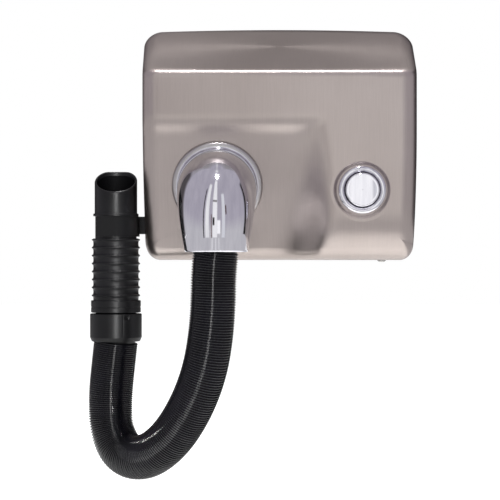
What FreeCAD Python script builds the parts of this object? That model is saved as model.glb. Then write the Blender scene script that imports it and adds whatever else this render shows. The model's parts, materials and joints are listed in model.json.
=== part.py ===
import FreeCAD, Part
import math
import os
import re
import Sketcher
from types import SimpleNamespace
from FreeCAD import Placement, Rotation, Vector

# Wall-mounted hot-air dryer with a stretch hose and a hand nozzle, for drying animals.
# Millimetres. X runs to the right along the wall, Y into the wall, Z up.
# The origin is the middle of the base plate's back, on the wall. Depths are counted from the
# wall towards the room, so a depth of 50 lies at Y = -50.

doc = FreeCAD.newDocument("PetDryer")
sheet = doc.addObject("Spreadsheet::Sheet", "Sizes")

# alias, size in millimetres or degrees, what it is
DRIVING_SIZES = [
    ("cover_width", 278.0, "width of the pressed cover at the wall"),
    ("cover_height", 240.0, "height of the pressed cover at the wall"),
    ("cover_depth", 122.0, "front face of the cover, from the wall"),
    ("sheet_thickness", 1.9, "stainless sheet of the cover"),
    ("draft_angle", 2.0, "draft of the cover's top and sides"),
    ("top_crown", 5.0, "rise of the top edge in its middle"),
    ("top_corner_radius", 24.0, "corner of the outline, top"),
    ("bottom_corner_radius", 20.0, "corner of the outline, bottom"),
    ("slope_angle", 26.5, "slope of the cover's top"),
    ("slope_start", 9.0, "depth at which the top slope begins"),
    ("chin_radius", 22.0, "roll from the front face to the underside"),
    ("cover_edge_radius", 13.0, "roll of the cover's other outward edges"),
    ("bay_tilt", 14.0, "tilt of the nozzle bay's floor"),
    ("bay_top", 8.0, "height at which the bay floor begins"),
    ("bay_step", 6.0, "step from the front face to the bay floor"),
    ("bay_right", 44.0, "right edge of the bay in the front face"),
    ("bay_wall_angle", 45.0, "lean of the bay's right wall"),
    ("bay_step_angle", 50.0, "lean of the bay's top step"),
    ("bay_inner_radius", 13.0, "hollow roll inside the bay"),
    ("dish_radius", 27.4, "pressed dish round the button"),
    ("dish_depth", 2.2, "depth of the button's dish"),
    ("rim_gap", 0.8, "cover to base plate"),
    ("slot_width", 3.0, "air intake slot, width"),
    ("slot_length", 34.0, "air intake slot, length"),
    ("slot_pitch", 9.0, "air intake slots, spacing"),
    ("slot_depth", 24.0, "air intake slots, distance from the wall"),
    ("slot_first", -20.0, "first air intake slot, sideways"),
    ("base_thickness", 3.0, "cast base plate"),
    ("base_rim_height", 8.0, "rim of the base plate, from the wall"),
    ("base_rim_width", 3.0, "rim of the base plate, wall"),
    ("wall_hole_x", 120.0, "wall holes, sideways from the middle"),
    ("wall_hole_z", "=cover_height/2 - 24", "wall holes, up and down from the middle"),
    ("wall_hole_radius", 4.0, "wall holes"),
    ("wall_boss_radius", 9.0, "bosses round the wall holes"),
    ("wall_boss_height", 6.0, "bosses round the wall holes, from the wall"),
    ("cable_hole_x", 23.0, "cable entry, sideways"),
    ("cable_hole_z", "=25 - cover_height/2", "cable entry, height"),
    ("cable_hole_radius", 10.0, "cable entry in the base plate"),
    ("grommet_bore_radius", 6.0, "bore of the rubber grommet"),
    ("grommet_lip", 3.0, "lip of the grommet beyond the hole"),
    ("lock_right_x", 108.0, "right locking screw, sideways"),
    ("lock_left_x", -68.0, "left locking screw, sideways"),
    ("lock_depth", 11.0, "locking screws, from the wall"),
    ("lock_head_radius", 4.2, "locking screw head"),
    ("lock_head_height", 2.4, "locking screw head"),
    ("lock_shank_radius", 2.5, "locking screw shank"),
    ("tab_width", 16.0, "tabs that take the locking screws"),
    ("tab_depth", 15.0, "tabs, from the plate's face"),
    ("tab_height", 9.0, "tabs, height"),
    ("screw_gap", 0.1, "screw shank to its hole, all round"),
    ("head_gap", 0.02, "screw head to the sheet that it holds"),
    ("fan_x", 34.0, "fan axis, sideways"),
    ("fan_z", 22.0, "fan axis, height"),
    ("scroll_radius", "=min(54; cover_height*0.225)", "first arc of the scroll, inside"),
    ("scroll_growth", 7.0, "growth of the scroll per quarter turn"),
    ("scroll_wall", 2.0, "wall of the scroll casing"),
    ("scroll_back", 10.0, "back of the scroll casing, from the wall"),
    ("scroll_split", 32.0, "joint of the two halves, from the wall"),
    ("scroll_front", 54.0, "front of the scroll casing, from the wall"),
    ("tongue_angle", 235.0, "place of the scroll's tongue"),
    ("inlet_radius", 34.0, "inlet eye of the scroll"),
    ("lug_radius", 6.0, "fixing lugs of the scroll"),
    ("lug_thickness", 6.0, "fixing lugs of the front half"),
    ("bush_radius", 5.5, "rubber bushes under the scroll"),
    ("casing_screw_radius", 1.9, "screws of the scroll, shank"),
    ("casing_screw_head", 3.6, "screws of the scroll, head radius"),
    ("casing_screw_head_height", 2.6, "screws of the scroll, head height"),
    ("wheel_radius", "=scroll_radius - 6", "fan wheel"),
    ("wheel_inner_radius", 37.0, "fan wheel, inside the blades"),
    ("wheel_back", 16.0, "back disc of the fan wheel, from the wall"),
    ("wheel_width", 31.5, "fan wheel, along its axis"),
    ("wheel_disc_thickness", 1.5, "discs of the fan wheel"),
    ("wheel_hub_radius", 9.0, "fan wheel hub"),
    ("wheel_hub_length", 14.0, "fan wheel hub"),
    ("blade_count", 20, "fan blades"),
    ("blade_thickness", 1.2, "fan blades"),
    ("blade_lean", 6.0, "sideways lean of a blade over its depth"),
    ("shaft_radius", 4.0, "motor shaft"),
    ("shaft_back", 12.6, "back end of the shaft, from the wall"),
        ("running_gap", 0.05, "shaft to the bore of its bearings"),
    ("free_gap", 0.3, "between pieces that move past each other"),
    ("bearing_radius", 9.5, "ball bearings, outside"),
    ("bearing_width", 6.0, "ball bearings, width"),
    ("bracket_thickness", 3.0, "motor brackets"),
    ("bracket_width", 16.0, "motor brackets, width of their bars"),
    ("bracket_reach", 44.0, "back motor bracket, half length"),
    ("cup_wall", 2.5, "bearing cups"),
    ("stator_back", 69.0, "field core, from the wall"),
    ("stator_length", "=min(22; cover_depth - 100)", "field core"),
    ("shaft_front", "=stator_back + stator_length + 22", "front end of the shaft, from the wall"),
    ("stator_radius", 33.0, "field core, outside"),
    ("stator_bore", 18.2, "field core, bore"),
    ("coil_inner_radius", 20.0, "field coils, inside"),
    ("coil_outer_radius", 25.0, "field coils, outside"),
    ("coil_overhang", 4.0, "field coils beyond the core"),
    ("tie_offset", 29.5, "motor tie screws, from the axis"),
    ("tie_radius", 1.8, "motor tie screws"),
    ("post_radius", 4.2, "spacer posts of the motor brackets"),
    ("armature_radius", 17.5, "armature core"),
    ("armature_slots", 12, "armature slots"),
    ("winding_radius", 15.0, "armature winding ends"),
    ("winding_length", 5.0, "armature winding ends, along the shaft"),
    ("commutator_radius", 9.0, "commutator"),
    ("commutator_length", 7.5, "commutator"),
    ("brush_width", 5.0, "carbon brushes"),
    ("brush_length", 10.0, "carbon brushes"),
    ("duct_x", -61.5, "outlet, sideways"),
    ("duct_outer_radius", 35.0, "heater tube, outside"),
    ("duct_wall", 1.6, "heater tube and box, wall"),
    ("outlet_height", -46.7, "middle of the outlet in the bay floor, height"),
    ("neck_radius", 34.0, "outlet neck, outside"),
    ("neck_wall", 2.0, "outlet neck, wall"),
    ("neck_length", 9.0, "outlet neck, beyond the bay floor"),
    ("neck_hole_gap", 1.0, "outlet neck to the hole in the cover"),
    ("plenum_half", 36.0, "heater box, half width and height"),
    ("duct_foot", 12.0, "feet of the heater box"),
    ("mica_thickness", 1.0, "mica cross of the heater"),
    ("mica_length", "=min(40; cover_depth - 82)", "mica cross of the heater"),
    ("heater_wire_radius", 0.7, "heating wire"),
    ("heater_coil_radius", 26.0, "heating wire, winding radius"),
    ("heater_turns", 7, "heating wire, turns"),
    ("cutout_radius", 8.0, "thermal cut-out"),
    ("elbow_flange_radius", 45.0, "elbow, round base"),
    ("elbow_flange_thickness", 6.5, "elbow, round base"),
    ("elbow_base_radius", 39.0, "elbow, body at the base"),
    ("elbow_mid_radius", 36.5, "elbow, body at the middle of its bend"),
    ("elbow_mouth_radius", 29.2, "elbow, lip"),
    ("elbow_wall", 2.7, "elbow, wall"),
    ("elbow_bend", 48.0, "elbow, radius of its bend"),
    ("outlet_depth", 158.0, "outlet axis, from the wall"),
    ("outlet_lip", -112.0, "elbow lip, height"),
    ("ring_radius", 1.0, "retaining ring, half of its section"),
    ("adaptor_length", 20.0, "hose adaptor in the elbow"),
    ("spigot_radius", 18.9, "spigots inside the hose's ends"),
    ("spigot_wall", 1.9, "spigots inside the hose's ends, wall"),
    ("spigot_reach", 14.0, "spigots inside the hose's ends, length"),
    ("adaptor_recess", 1.0, "hose adaptor above the lip"),
    ("hose_radius", 22.0, "hose, over its ribs"),
    ("hose_root_radius", 20.6, "hose, between its ribs"),
    ("hose_bore_radius", 19.0, "hose, bore"),
    ("hose_plain_end", 2.0, "hose, plain ends over its spigots"),
    ("rib_pitch_wide", 2.5, "hose, rib spacing under the elbow"),
    ("rib_pitch_tight", 2.07, "hose, rib spacing under the cuff"),
    ("button_x", 80.3, "button, sideways"),
    ("button_z", -51.3, "button, height"),
    ("bezel_radius", 23.5, "button bezel"),
    ("bezel_rise", 9.0, "button bezel, above its dish"),
    ("bezel_barrel_radius", 19.5, "button bezel, threaded barrel"),
    ("bezel_barrel_length", 20.0, "button bezel, threaded barrel"),
    ("bezel_nut_radius", 25.0, "button nut, across its corners"),
    ("bezel_nut_thickness", 5.0, "button nut"),
    ("cap_radius", 16.6, "button cap"),
    ("cap_rise", 3.0, "button cap above its bezel"),
    ("cap_length", 14.0, "button cap, skirt"),
    ("cap_wall", 2.0, "button cap, wall"),
    ("button_travel", 4.0, "button, travel"),
    ("stem_radius", 3.0, "button stem"),
    ("stem_tip", "=cover_depth - 26", "button stem, tip from the wall"),
    ("spring_radius", 8.0, "button spring, middle of the wire"),
    ("spring_wire_radius", 0.6, "button spring, wire"),
    ("spring_turns", 6, "button spring, turns"),
    ("switch_length", 28.0, "microswitch, length"),
    ("switch_height", 16.0, "microswitch, height"),
    ("switch_width", 10.0, "microswitch, width"),
    ("switch_top", "=cover_depth - 34", "microswitch, face towards the room"),
    ("bracket_foot_z", "=button_z - 12.7", "foot screws of the switch bracket, height"),
    ("pivot_offset", 16.3, "lever pivot to the button's axis"),
    ("pivot_rise", 2.2, "lever pivot above the switch"),
    ("lever_thickness", 0.5, "switch lever"),
    ("lever_width", 5.0, "switch lever"),
    ("lever_reach", 24.0, "switch lever, beyond its pivot"),
    ("pin_radius", 0.6, "lever pin"),
    ("plunger_offset", 6.0, "switch plunger to the pivot"),
    ("plunger_radius", 1.2, "switch plunger"),
    ("board_x", 38.0, "timer board, left edge"),
    ("board_z", "=12.5 - cover_height/2", "timer board, lower edge"),
    ("board_width", 70.0, "timer board"),
    ("board_height", "=min(36; cover_height/4 - 24)", "timer board"),
    ("board_thickness", 1.6, "timer board"),
    ("board_depth", 16.0, "timer board, from the wall"),
    ("board_hole_inset", 4.0, "timer board, holes from its edges"),
    ("board_screw_radius", 1.4, "timer board screws"),
    ("terminal_x", -28.0, "terminal block, left end"),
    ("terminal_z", "=14 - cover_height/2", "terminal block, underside"),
    ("terminal_length", 36.0, "terminal block"),
    ("terminal_height", 16.0, "terminal block"),
    ("terminal_depth", 19.0, "terminal block"),
    ("earth_x", -114.0, "earth screw, sideways"),
    ("earth_z", -40.0, "earth screw, height"),
    ("handle_x", -163.2, "handle axis, sideways"),
    ("handle_depth", 84.0, "handle axis, from the wall"),
    ("mouth_top", -31.0, "top of the nozzle's mouth, height"),
    ("mouth_drop", 22.0, "front lip of the mouth below its top"),
    ("mouth_angle", 30.0, "slant of the mouth"),
    ("nozzle_radius", 21.2, "nozzle barrel"),
    ("nozzle_wall", 2.3, "nozzle barrel, wall"),
    ("flange_radius", 22.6, "flange that rests on the clip"),
    ("flange_thickness", 2.6, "flange that rests on the clip"),
    ("neck_band_radius", 20.6, "nozzle neck inside the clip"),
    ("clip_top", -76.6, "top of the clip band, height"),
    ("clip_height", 20.0, "clip band"),
    ("clip_wall", 2.6, "clip band, wall"),
    ("clip_reach", 17.7, "clip jaws beyond the handle's axis"),
    ("clip_arm", 17.4, "clip arm, height"),
    ("clip_arm_depth", 20.0, "clip arm, from front to back"),
    ("clip_arm_middle", "=cover_depth - 52", "middle of the clip arm, from the wall"),
    ("clip_screw_radius", 1.8, "clip screws"),
    ("clip_screw_length", 7.0, "clip screws"),
    ("grip_radius", 22.8, "grip between its rings"),
    ("grip_ring_radius", 24.0, "grip rings"),
    ("grip_ring_width", 1.8, "grip rings, width"),
    ("grip_ring_pitch", 7.95, "grip rings, spacing"),
    ("grip_ring_top", -98.8, "first grip ring, height"),
    ("grip_top", -98.5, "top of the grip, height"),
    ("grip_bottom", -172.3, "lower end of the grip's collar, height"),
    ("grip_rings", 8, "grip rings"),
    ("grip_wall", 3.2, "grip, wall"),
    ("collar_radius", 24.8, "plain collar at the grip's lower end"),
    ("collar_height", 12.0, "plain collar at the grip's lower end"),
    ("spigot_length", 22.0, "nozzle spigot inside the grip"),
    ("cuff_radius", 25.8, "hose cuff"),
    ("cuff_height", 27.5, "hose cuff"),
    ("cuff_gap", 1.2, "cuff below the collar"),
    ("tail_radius", 20.0, "tail of the grip inside the cuff"),
    ("tail_length", 17.0, "tail of the grip inside the cuff"),
    ("bead_rise", 1.2, "snap bead on the tail"),
]

for row, (alias, amount, note) in enumerate(DRIVING_SIZES, start=1):
    sheet.set("A%d" % row, note)
    sheet.set("B%d" % row, str(amount))
    sheet.setAlias("B%d" % row, alias)
doc.recompute()
ALIASES = {alias for alias, amount, note in DRIVING_SIZES}
S = SimpleNamespace(**{alias: float(sheet.get(alias)) for alias in ALIASES})

TOWARDS = {
    "up": Rotation(),
    "down": Rotation(Vector(1, 0, 0), 180),
    "room": Rotation(Vector(1, 0, 0), 90),
    "wall": Rotation(Vector(1, 0, 0), -90),
    "right": Rotation(Vector(0, 1, 0), 90),
    "left": Rotation(Vector(0, 1, 0), -90),
}
HALF_TURN = 180.0
FULL_TURN = 360.0
nodes = []


# Small helpers: formulas on the sheet, primitives, booleans and turned bodies


def formula(text):
    """The same formula with the sheet's name before each size."""
    def named(match):
        word = match.group(0)
        return "Sizes." + word if word in ALIASES else word
    return re.sub(r"[a-z]+(?:_[a-z]+)+", named, text)


def bind(item, **formulas):
    for prop, text in formulas.items():
        item.setExpression(prop, formula(text))
    return item


def put(item, at, towards="up"):
    """Moves an object to a place given by three formulas, its own Z turned towards a side."""
    item.Placement = Placement(Vector(), TOWARDS[towards])
    for axis, text in zip("xyz", at):
        item.setExpression("Placement.Base." + axis, formula(text))
    return item


def keep(item, label):
    """Makes an object a piece of the dryer, under its own name."""
    item.Label = label
    nodes.append(item)
    return item


def cylinder(name, radius, height, at, towards="up"):
    return put(bind(doc.addObject("Part::Cylinder", name), Radius=radius, Height=height), at, towards)


def box(name, extents, corner):
    length, width, height = extents
    item = doc.addObject("Part::Box", name)
    return put(bind(item, Length=length, Width=width, Height=height), corner)


def fuse(name, *items):
    item = doc.addObject("Part::MultiFuse", name)
    item.Shapes = list(items)
    return item


def cut(name, base, *tools):
    item = doc.addObject("Part::Cut", name)
    item.Base = base
    item.Tool = tools[0] if len(tools) == 1 else fuse(name + "_tools", *tools)
    return item


def made(name, shape):
    """A piece whose form comes straight from the geometry functions below."""
    item = doc.addObject("Part::Feature", name)
    item.Shape = shape
    return item


def origin_plane(body, role):
    return next(item for item in body.Origin.OriginFeatures if item.Role == role)


def polygon_sketch(body, name, corners, role="XZ_Plane", lift="0"):
    """A closed outline whose corners are each held by two formulas."""
    sketch = body.newObject("Sketcher::SketchObject", name)
    sketch.AttachmentSupport = [(origin_plane(body, role), "")]
    sketch.MapMode = "FlatFace"
    sketch.setExpression("AttachmentOffset.Base.z", formula(lift))
    count = len(corners)
    start = [Vector(10 * math.cos(2 * math.pi * k / count), 10 * math.sin(2 * math.pi * k / count), 0)
             for k in range(count)]
    for k in range(count):
        sketch.addGeometry(Part.LineSegment(start[k], start[(k + 1) % count]), False)
    for k in range(count):
        sketch.addConstraint(Sketcher.Constraint("Coincident", k, 2, (k + 1) % count, 1))
    for k, (across, along) in enumerate(corners):
        for kind, coordinate, text in (("DistanceX", start[k].x, across), ("DistanceY", start[k].y, along)):
            index = sketch.addConstraint(Sketcher.Constraint(kind, -1, 1, k, 1, coordinate))
            sketch.setExpression("Constraints[%d]" % index, formula(text))
    return sketch


def circle_sketch(body, name, circles, role="XZ_Plane", lift="0"):
    """Circles, each held by formulas for its middle and its radius."""
    sketch = body.newObject("Sketcher::SketchObject", name)
    sketch.AttachmentSupport = [(origin_plane(body, role), "")]
    sketch.MapMode = "FlatFace"
    sketch.setExpression("AttachmentOffset.Base.z", formula(lift))
    for k, (across, along, radius) in enumerate(circles):
        sketch.addGeometry(Part.Circle(Vector(5 * k, 5, 0), Vector(0, 0, 1), 1), False)
        for kind, args, text in (("DistanceX", (-1, 1, k, 3, 5.0 * k), across),
                                 ("DistanceY", (-1, 1, k, 3, 5.0), along),
                                 ("Radius", (k, 1.0), radius)):
            index = sketch.addConstraint(Sketcher.Constraint(kind, *args))
            sketch.setExpression("Constraints[%d]" % index, formula(text))
    return sketch


def feature(body, kind, name, sketch, **formulas):
    """Adds a sketch-based feature to a body and binds its sizes."""
    item = body.newObject("PartDesign::" + kind, name)
    item.Profile = sketch
    sketch.Visibility = False
    return bind(item, **formulas)


def turned(name, corners):
    """A body turned about its own Z from an outline of radius and height."""
    body = doc.addObject("PartDesign::Body", name)
    sketch = polygon_sketch(body, name + "_outline", corners)
    spin = feature(body, "Revolution", name + "_turn", sketch)
    spin.ReferenceAxis = (sketch, ["V_Axis"])
    spin.Angle = FULL_TURN
    body.Tip = spin
    return body


def turned_at(name, corners, at, towards="up"):
    return put(turned(name, corners), at, towards)


def copies(name, item, places):
    """One node of equal pieces: the same body at several places."""
    doc.recompute()
    shapes = []
    for place in places:
        shape = item.Shape.copy()
        shape.Placement = place.multiply(shape.Placement)
        shapes.append(shape)
    return made(name, Part.makeCompound(shapes))


def at_depth(x, depth, z):
    return Vector(x, -depth, z)


def flat_face(*corners):
    return Part.Face(Part.makePolygon(list(corners) + [corners[0]]))


def rod(start, end, radius):
    axis = end.sub(start)
    return Part.makeCylinder(radius, axis.Length, start, axis)


def pipe(start, end, outer, inner):
    return rod(start, end, outer).cut(rod(start, end, inner))


def screw_corners(head_radius, head_height, shank_radius, length):
    """Half section of a pan-head screw, its head's underside at height zero."""
    return [("0", "0-(%s)" % length), (shank_radius, "0-(%s)" % length), (shank_radius, "0"),
            (head_radius, "0"), (head_radius, "(%s)*0.55" % head_height),
            ("(%s)*0.6" % head_radius, head_height), ("0", head_height)]


# The pressed cover. Its form is a drafted block with a crowned top, cut by the sloping top and by
# the nozzle bay. The same form, drawn in by the sheet's thickness, hollows it.

tilt = math.radians(S.bay_tilt)
OUTLET_AXIS = Vector(0, -math.cos(tilt), -math.sin(tilt))
BAY_UP = Vector(0, -math.sin(tilt), math.cos(tilt))


def cover_outline(depth, inset):
    """The outline seen from the front at one depth: crowned top, round corners, flat underside."""
    taper = depth * math.tan(math.radians(S.draft_angle)) + inset
    half = S.cover_width / 2 - taper
    top = S.cover_height / 2 - taper
    shoulder = top - S.top_crown
    bottom = -S.cover_height / 2 + inset
    upper = S.top_corner_radius - inset
    lower = S.bottom_corner_radius - inset
    near = 1 - math.sqrt(0.5)

    def spot(x, z):
        return at_depth(x, depth, z)

    def corner(side, upwards, radius, level):
        ends = [spot(side * (half - radius), level), spot(side * half, level - upwards * radius)]
        middle = spot(side * (half - near * radius), level - upwards * near * radius)
        if side * upwards < 0:
            ends.reverse()
        return Part.Arc(ends[0], middle, ends[1]).toShape()

    edges = [
        Part.Arc(spot(upper - half, shoulder), spot(0, top), spot(half - upper, shoulder)).toShape(),
        corner(1, 1, upper, shoulder),
        Part.LineSegment(spot(half, shoulder - upper), spot(half, bottom + lower)).toShape(),
        corner(1, -1, lower, bottom),
        Part.LineSegment(spot(half - lower, bottom), spot(lower - half, bottom)).toShape(),
        corner(-1, -1, lower, bottom),
        Part.LineSegment(spot(-half, bottom + lower), spot(-half, shoulder - upper)).toShape(),
        corner(-1, 1, upper, shoulder),
    ]
    return Part.Wire(edges)


def meet(*planes):
    """The point where three planes meet, each given by its normal and its distance."""
    (a, p), (b, q), (c, r) = planes
    top = b.cross(c).multiply(p).add(c.cross(a).multiply(q)).add(a.cross(b).multiply(r))
    return top.multiply(1 / a.dot(b.cross(c)))


def bay_planes(inset):
    """Floor, right wall and top step of the bay, their normals pointing out of the metal."""
    lean = math.radians(S.bay_wall_angle)
    fall = math.radians(S.bay_step_angle)
    floor = OUTLET_AXIS
    wall = Vector(-math.sin(lean), -math.cos(lean), 0)
    step = Vector(0, -math.cos(fall), -math.sin(fall))
    on_floor = at_depth(0, S.cover_depth - S.bay_step, S.bay_top)
    on_wall = at_depth(S.bay_right, S.cover_depth, 0)
    return [(floor, floor.dot(on_floor) - inset), (wall, wall.dot(on_wall) - inset),
            (step, step.dot(on_floor) - inset)]


def bay_form(inset):
    """The block of air in front of the bay, rounded where its floor, wall and step meet."""
    floor, wall, step = bay_planes(inset)
    left = (Vector(1, 0, 0), -S.cover_width)
    low = (Vector(0, 0, 1), -S.cover_height)
    near = (Vector(0, 1, 0), -2 * S.cover_depth)
    back = [meet(floor, step, left), meet(floor, step, wall), meet(floor, low, wall), meet(floor, low, left)]
    face = [meet(near, step, left), meet(near, step, wall), meet(near, low, wall), meet(near, low, left)]
    sides = [flat_face(back[k], back[(k + 1) % 4], face[(k + 1) % 4], face[k]) for k in range(4)]
    block = Part.Solid(Part.Shell([flat_face(*back), flat_face(*face)] + sides))
    if block.Volume < 0:
        block.reverse()
    inner = [edge for edge in block.Edges if on_line(edge, back[0], back[1])
             or on_line(edge, back[1], back[2]) or on_line(edge, back[1], face[1])]
    return block.makeFillet(S.bay_inner_radius + inset, inner)


def on_line(edge, start, end):
    return edge.CenterOfMass.distanceToLine(start, end.sub(start)) < 0.01


def convex_edges(solid):
    """Edges where two faces meet in an outward corner, smooth joints left out."""
    found = []
    for edge in solid.Edges:
        owners = [face for face in solid.Faces if any(edge.isSame(other) for other in face.Edges)]
        if len(owners) != 2 or edge.Length < 0.01:
            continue
        middle = edge.valueAt((edge.FirstParameter + edge.LastParameter) / 2)
        outward = []
        for face in owners:
            outward.append(face.normalAt(*face.Surface.parameter(middle)))
        if outward[0].getAngle(outward[1]) < math.radians(8):
            continue
        probe = middle.add(outward[0].sub(outward[1]).normalize().multiply(0.05))
        if not solid.isInside(probe, 0.001, True):
            found.append((edge, middle))
    return found


def cover_form(inset):
    depth = S.cover_depth - inset
    block = Part.makeLoft([cover_outline(0, inset), cover_outline(depth, inset)], True, True)

    slope = math.radians(S.slope_angle)
    wide = 2 * S.cover_width
    crest = S.cover_height / 2 + 2 - inset / math.cos(slope)
    drop = (2 * depth - S.slope_start) * math.tan(slope)
    wedge = flat_face(at_depth(-wide / 2, S.slope_start, crest), at_depth(-wide / 2, 2 * depth, crest - drop),
                      at_depth(-wide / 2, 2 * depth, 2 * crest), at_depth(-wide / 2, S.slope_start, 2 * crest))
    block = block.cut(wedge.extrude(Vector(wide, 0, 0)))

    radius = S.chin_radius - inset
    bottom = inset - S.cover_height / 2
    corner = Part.makeBox(wide, radius, radius, at_depth(-wide / 2, depth, bottom))
    roll = rod(at_depth(-wide / 2, depth - radius, bottom + radius),
               at_depth(wide / 2, depth - radius, bottom + radius), radius)
    block = block.cut(corner.cut(roll))
    block = block.cut(bay_form(inset))

    rolled = [edge for edge, middle in convex_edges(block) if middle.y < -1]
    return block.makeFillet(S.cover_edge_radius - inset, rolled)


on_floor = bay_planes(0)[0]
OUTLET = meet(on_floor, (Vector(1, 0, 0), S.duct_x), (Vector(0, 0, 1), S.outlet_height))


def along_outlet(distance):
    """A point on the outlet's axis, a distance out from the bay floor."""
    return OUTLET.add(Vector(OUTLET_AXIS).multiply(distance))


def dish(inset):
    """The pressed dish that the button sits in."""
    front = at_depth(S.button_x, S.cover_depth + 1, S.button_z)
    slope = S.dish_depth + 1
    return Part.makeCone(S.dish_radius + 1 + inset, S.dish_radius - S.dish_depth + inset, slope + inset,
                         front, Vector(0, 1, 0))


def plug(inset, radius, start, end):
    return rod(along_outlet(start), along_outlet(end), radius + inset)


def drilled_cover():
    """The hollow cover with its holes for the outlet, the button, the air and the screws."""
    shell = COVER_OUTSIDE.cut(dish(0)).cut(cover_form(S.sheet_thickness).cut(dish(S.sheet_thickness)))
    tools = [
        plug(S.neck_hole_gap, S.neck_radius, -2 * S.sheet_thickness - 2, 3),
        rod(at_depth(S.button_x, S.cover_depth + 1, S.button_z),
            at_depth(S.button_x, S.cover_depth - 10, S.button_z), S.bezel_barrel_radius + S.free_gap),
    ]
    under = -S.cover_height / 2
    slots = int((S.cover_width / 2 - 2 * S.cover_edge_radius - 25 - S.slot_first) / S.slot_pitch)
    for k in range(slots):
        middle = S.slot_first + k * S.slot_pitch
        tools.append(Part.makeBox(S.slot_width, S.slot_length, 6,
                                  at_depth(middle - S.slot_width / 2, S.slot_depth + S.slot_length, under - 2)))
    for x in (S.lock_left_x, S.lock_right_x):
        tools.append(rod(at_depth(x, S.lock_depth, under - 1), at_depth(x, S.lock_depth, under + 5),
                         S.lock_shank_radius + S.free_gap))
    for depth in CLIP_SCREW_DEPTHS:
        tools.append(rod(at_depth(-S.cover_width / 2 - 2, depth, CLIP_MIDDLE),
                         at_depth(-S.cover_width / 2 + 15, depth, CLIP_MIDDLE),
                         S.clip_screw_radius + S.screw_gap))
    drilled = shell.cut(tools)
    for tool in tools:
        if drilled.common(tool).Volume > 0.01:
            raise ValueError("a hole of the cover is not open")
    return drilled


COVER_OUTSIDE = cover_form(0)
CLIP_MIDDLE = S.clip_top - S.clip_arm / 2
CLIP_SCREW_DEPTHS = [S.clip_arm_middle - S.clip_arm_depth / 4, S.clip_arm_middle + S.clip_arm_depth / 4]
keep(made("cover", drilled_cover()), "cover")

lock_screw = turned("lock_screw", screw_corners("lock_head_radius", "lock_head_height",
                                                "lock_shank_radius", "tab_height"))
under_cover = -S.cover_height / 2 - S.head_gap
keep(copies("lock_screws", lock_screw,
            [Placement(at_depth(x, S.lock_depth, under_cover), TOWARDS["down"])
             for x in (S.lock_left_x, S.lock_right_x)]), "cover_lock_screws")

# Scroll geometry, shared by the casing and by the pieces that are fixed to it. Its wall is four
# quarter arcs, each one step of growth larger, with their middles on a square round the fan axis.

half_step = S.scroll_growth / 2
SCROLL_ARCS = []
for quarter, (side, level) in enumerate([(-1, 1), (1, 1), (1, -1), (-1, -1)]):
    SCROLL_ARCS.append((S.fan_x + side * half_step, S.fan_z + level * half_step,
                        S.scroll_radius + quarter * S.scroll_growth, HALF_TURN - 90.0 * quarter))
PLENUM_RIGHT = S.duct_x + S.plenum_half


def scroll_spot(quarter, angle, extra, depth=0.0):
    """A point on one of the four arcs, moved outwards by a distance."""
    x, z, radius, start = SCROLL_ARCS[quarter]
    turn = math.radians(angle)
    return at_depth(x + (radius + extra) * math.cos(turn), depth, z + (radius + extra) * math.sin(turn))


def scroll_face(extra, depth, mouth_x):
    """The scroll's outline: tongue, four arcs and the straight mouth towards the heater box."""
    tongue = scroll_spot(0, S.tongue_angle, extra, depth)
    edges = []
    start = S.tongue_angle
    for quarter in range(4):
        end = SCROLL_ARCS[quarter][3] if quarter == 0 else SCROLL_ARCS[quarter - 1][3] - 90
        edges.append(Part.Arc(scroll_spot(quarter, start, extra, depth),
                              scroll_spot(quarter, (start + end) / 2, extra, depth),
                              scroll_spot(quarter, end, extra, depth)).toShape())
        start = end
    low = scroll_spot(3, start, extra, depth)
    corners = [low, Vector(mouth_x, low.y, low.z), Vector(mouth_x, low.y, tongue.z), tongue]
    edges += [Part.LineSegment(corners[k], corners[k + 1]).toShape() for k in range(3)]
    return Part.Face(Part.Wire(edges))


def scroll_block(extra, near_wall, near_room, mouth_x):
    return scroll_face(extra, near_wall, mouth_x).extrude(Vector(0, near_wall - near_room, 0))


LUG_SPOTS = [scroll_spot(1, 135, S.scroll_wall + S.lug_radius - 1), scroll_spot(2, 45, S.scroll_wall + S.lug_radius - 1),
             scroll_spot(3, -45, S.scroll_wall + S.lug_radius - 1), scroll_spot(3, -84, S.scroll_wall + S.lug_radius - 1)]


def scroll_half(near_wall, near_room, floor_at_wall):
    """One half of the casing: an open tray with its four lugs, drilled for the casing screws."""
    tray = scroll_block(S.scroll_wall, near_wall, near_room, PLENUM_RIGHT)
    if floor_at_wall:
        hollow = scroll_block(0, near_wall + S.scroll_wall, near_room + 1, PLENUM_RIGHT - 1)
        lug_ends = (near_wall, near_room)
    else:
        hollow = scroll_block(0, near_wall - 1, near_room - S.scroll_wall, PLENUM_RIGHT - 1)
        lug_ends = (near_wall, near_wall + S.lug_thickness)
    air = scroll_block(0.05, near_wall - 2, near_room + 2, PLENUM_RIGHT - 1)
    for spot in LUG_SPOTS:
        lug = rod(at_depth(spot.x, lug_ends[0], spot.z), at_depth(spot.x, lug_ends[1], spot.z), S.lug_radius)
        tray = tray.fuse(lug.cut(air))
    tray = tray.cut(hollow)
    for spot in LUG_SPOTS:
        tray = tray.cut(rod(at_depth(spot.x, near_wall - 1, spot.z), at_depth(spot.x, near_room + 1, spot.z),
                            S.casing_screw_radius + S.screw_gap))
    return tray


BRACKET_SCREW_OFFSETS = (-S.bracket_reach + 4, S.bracket_reach - 4)


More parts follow.
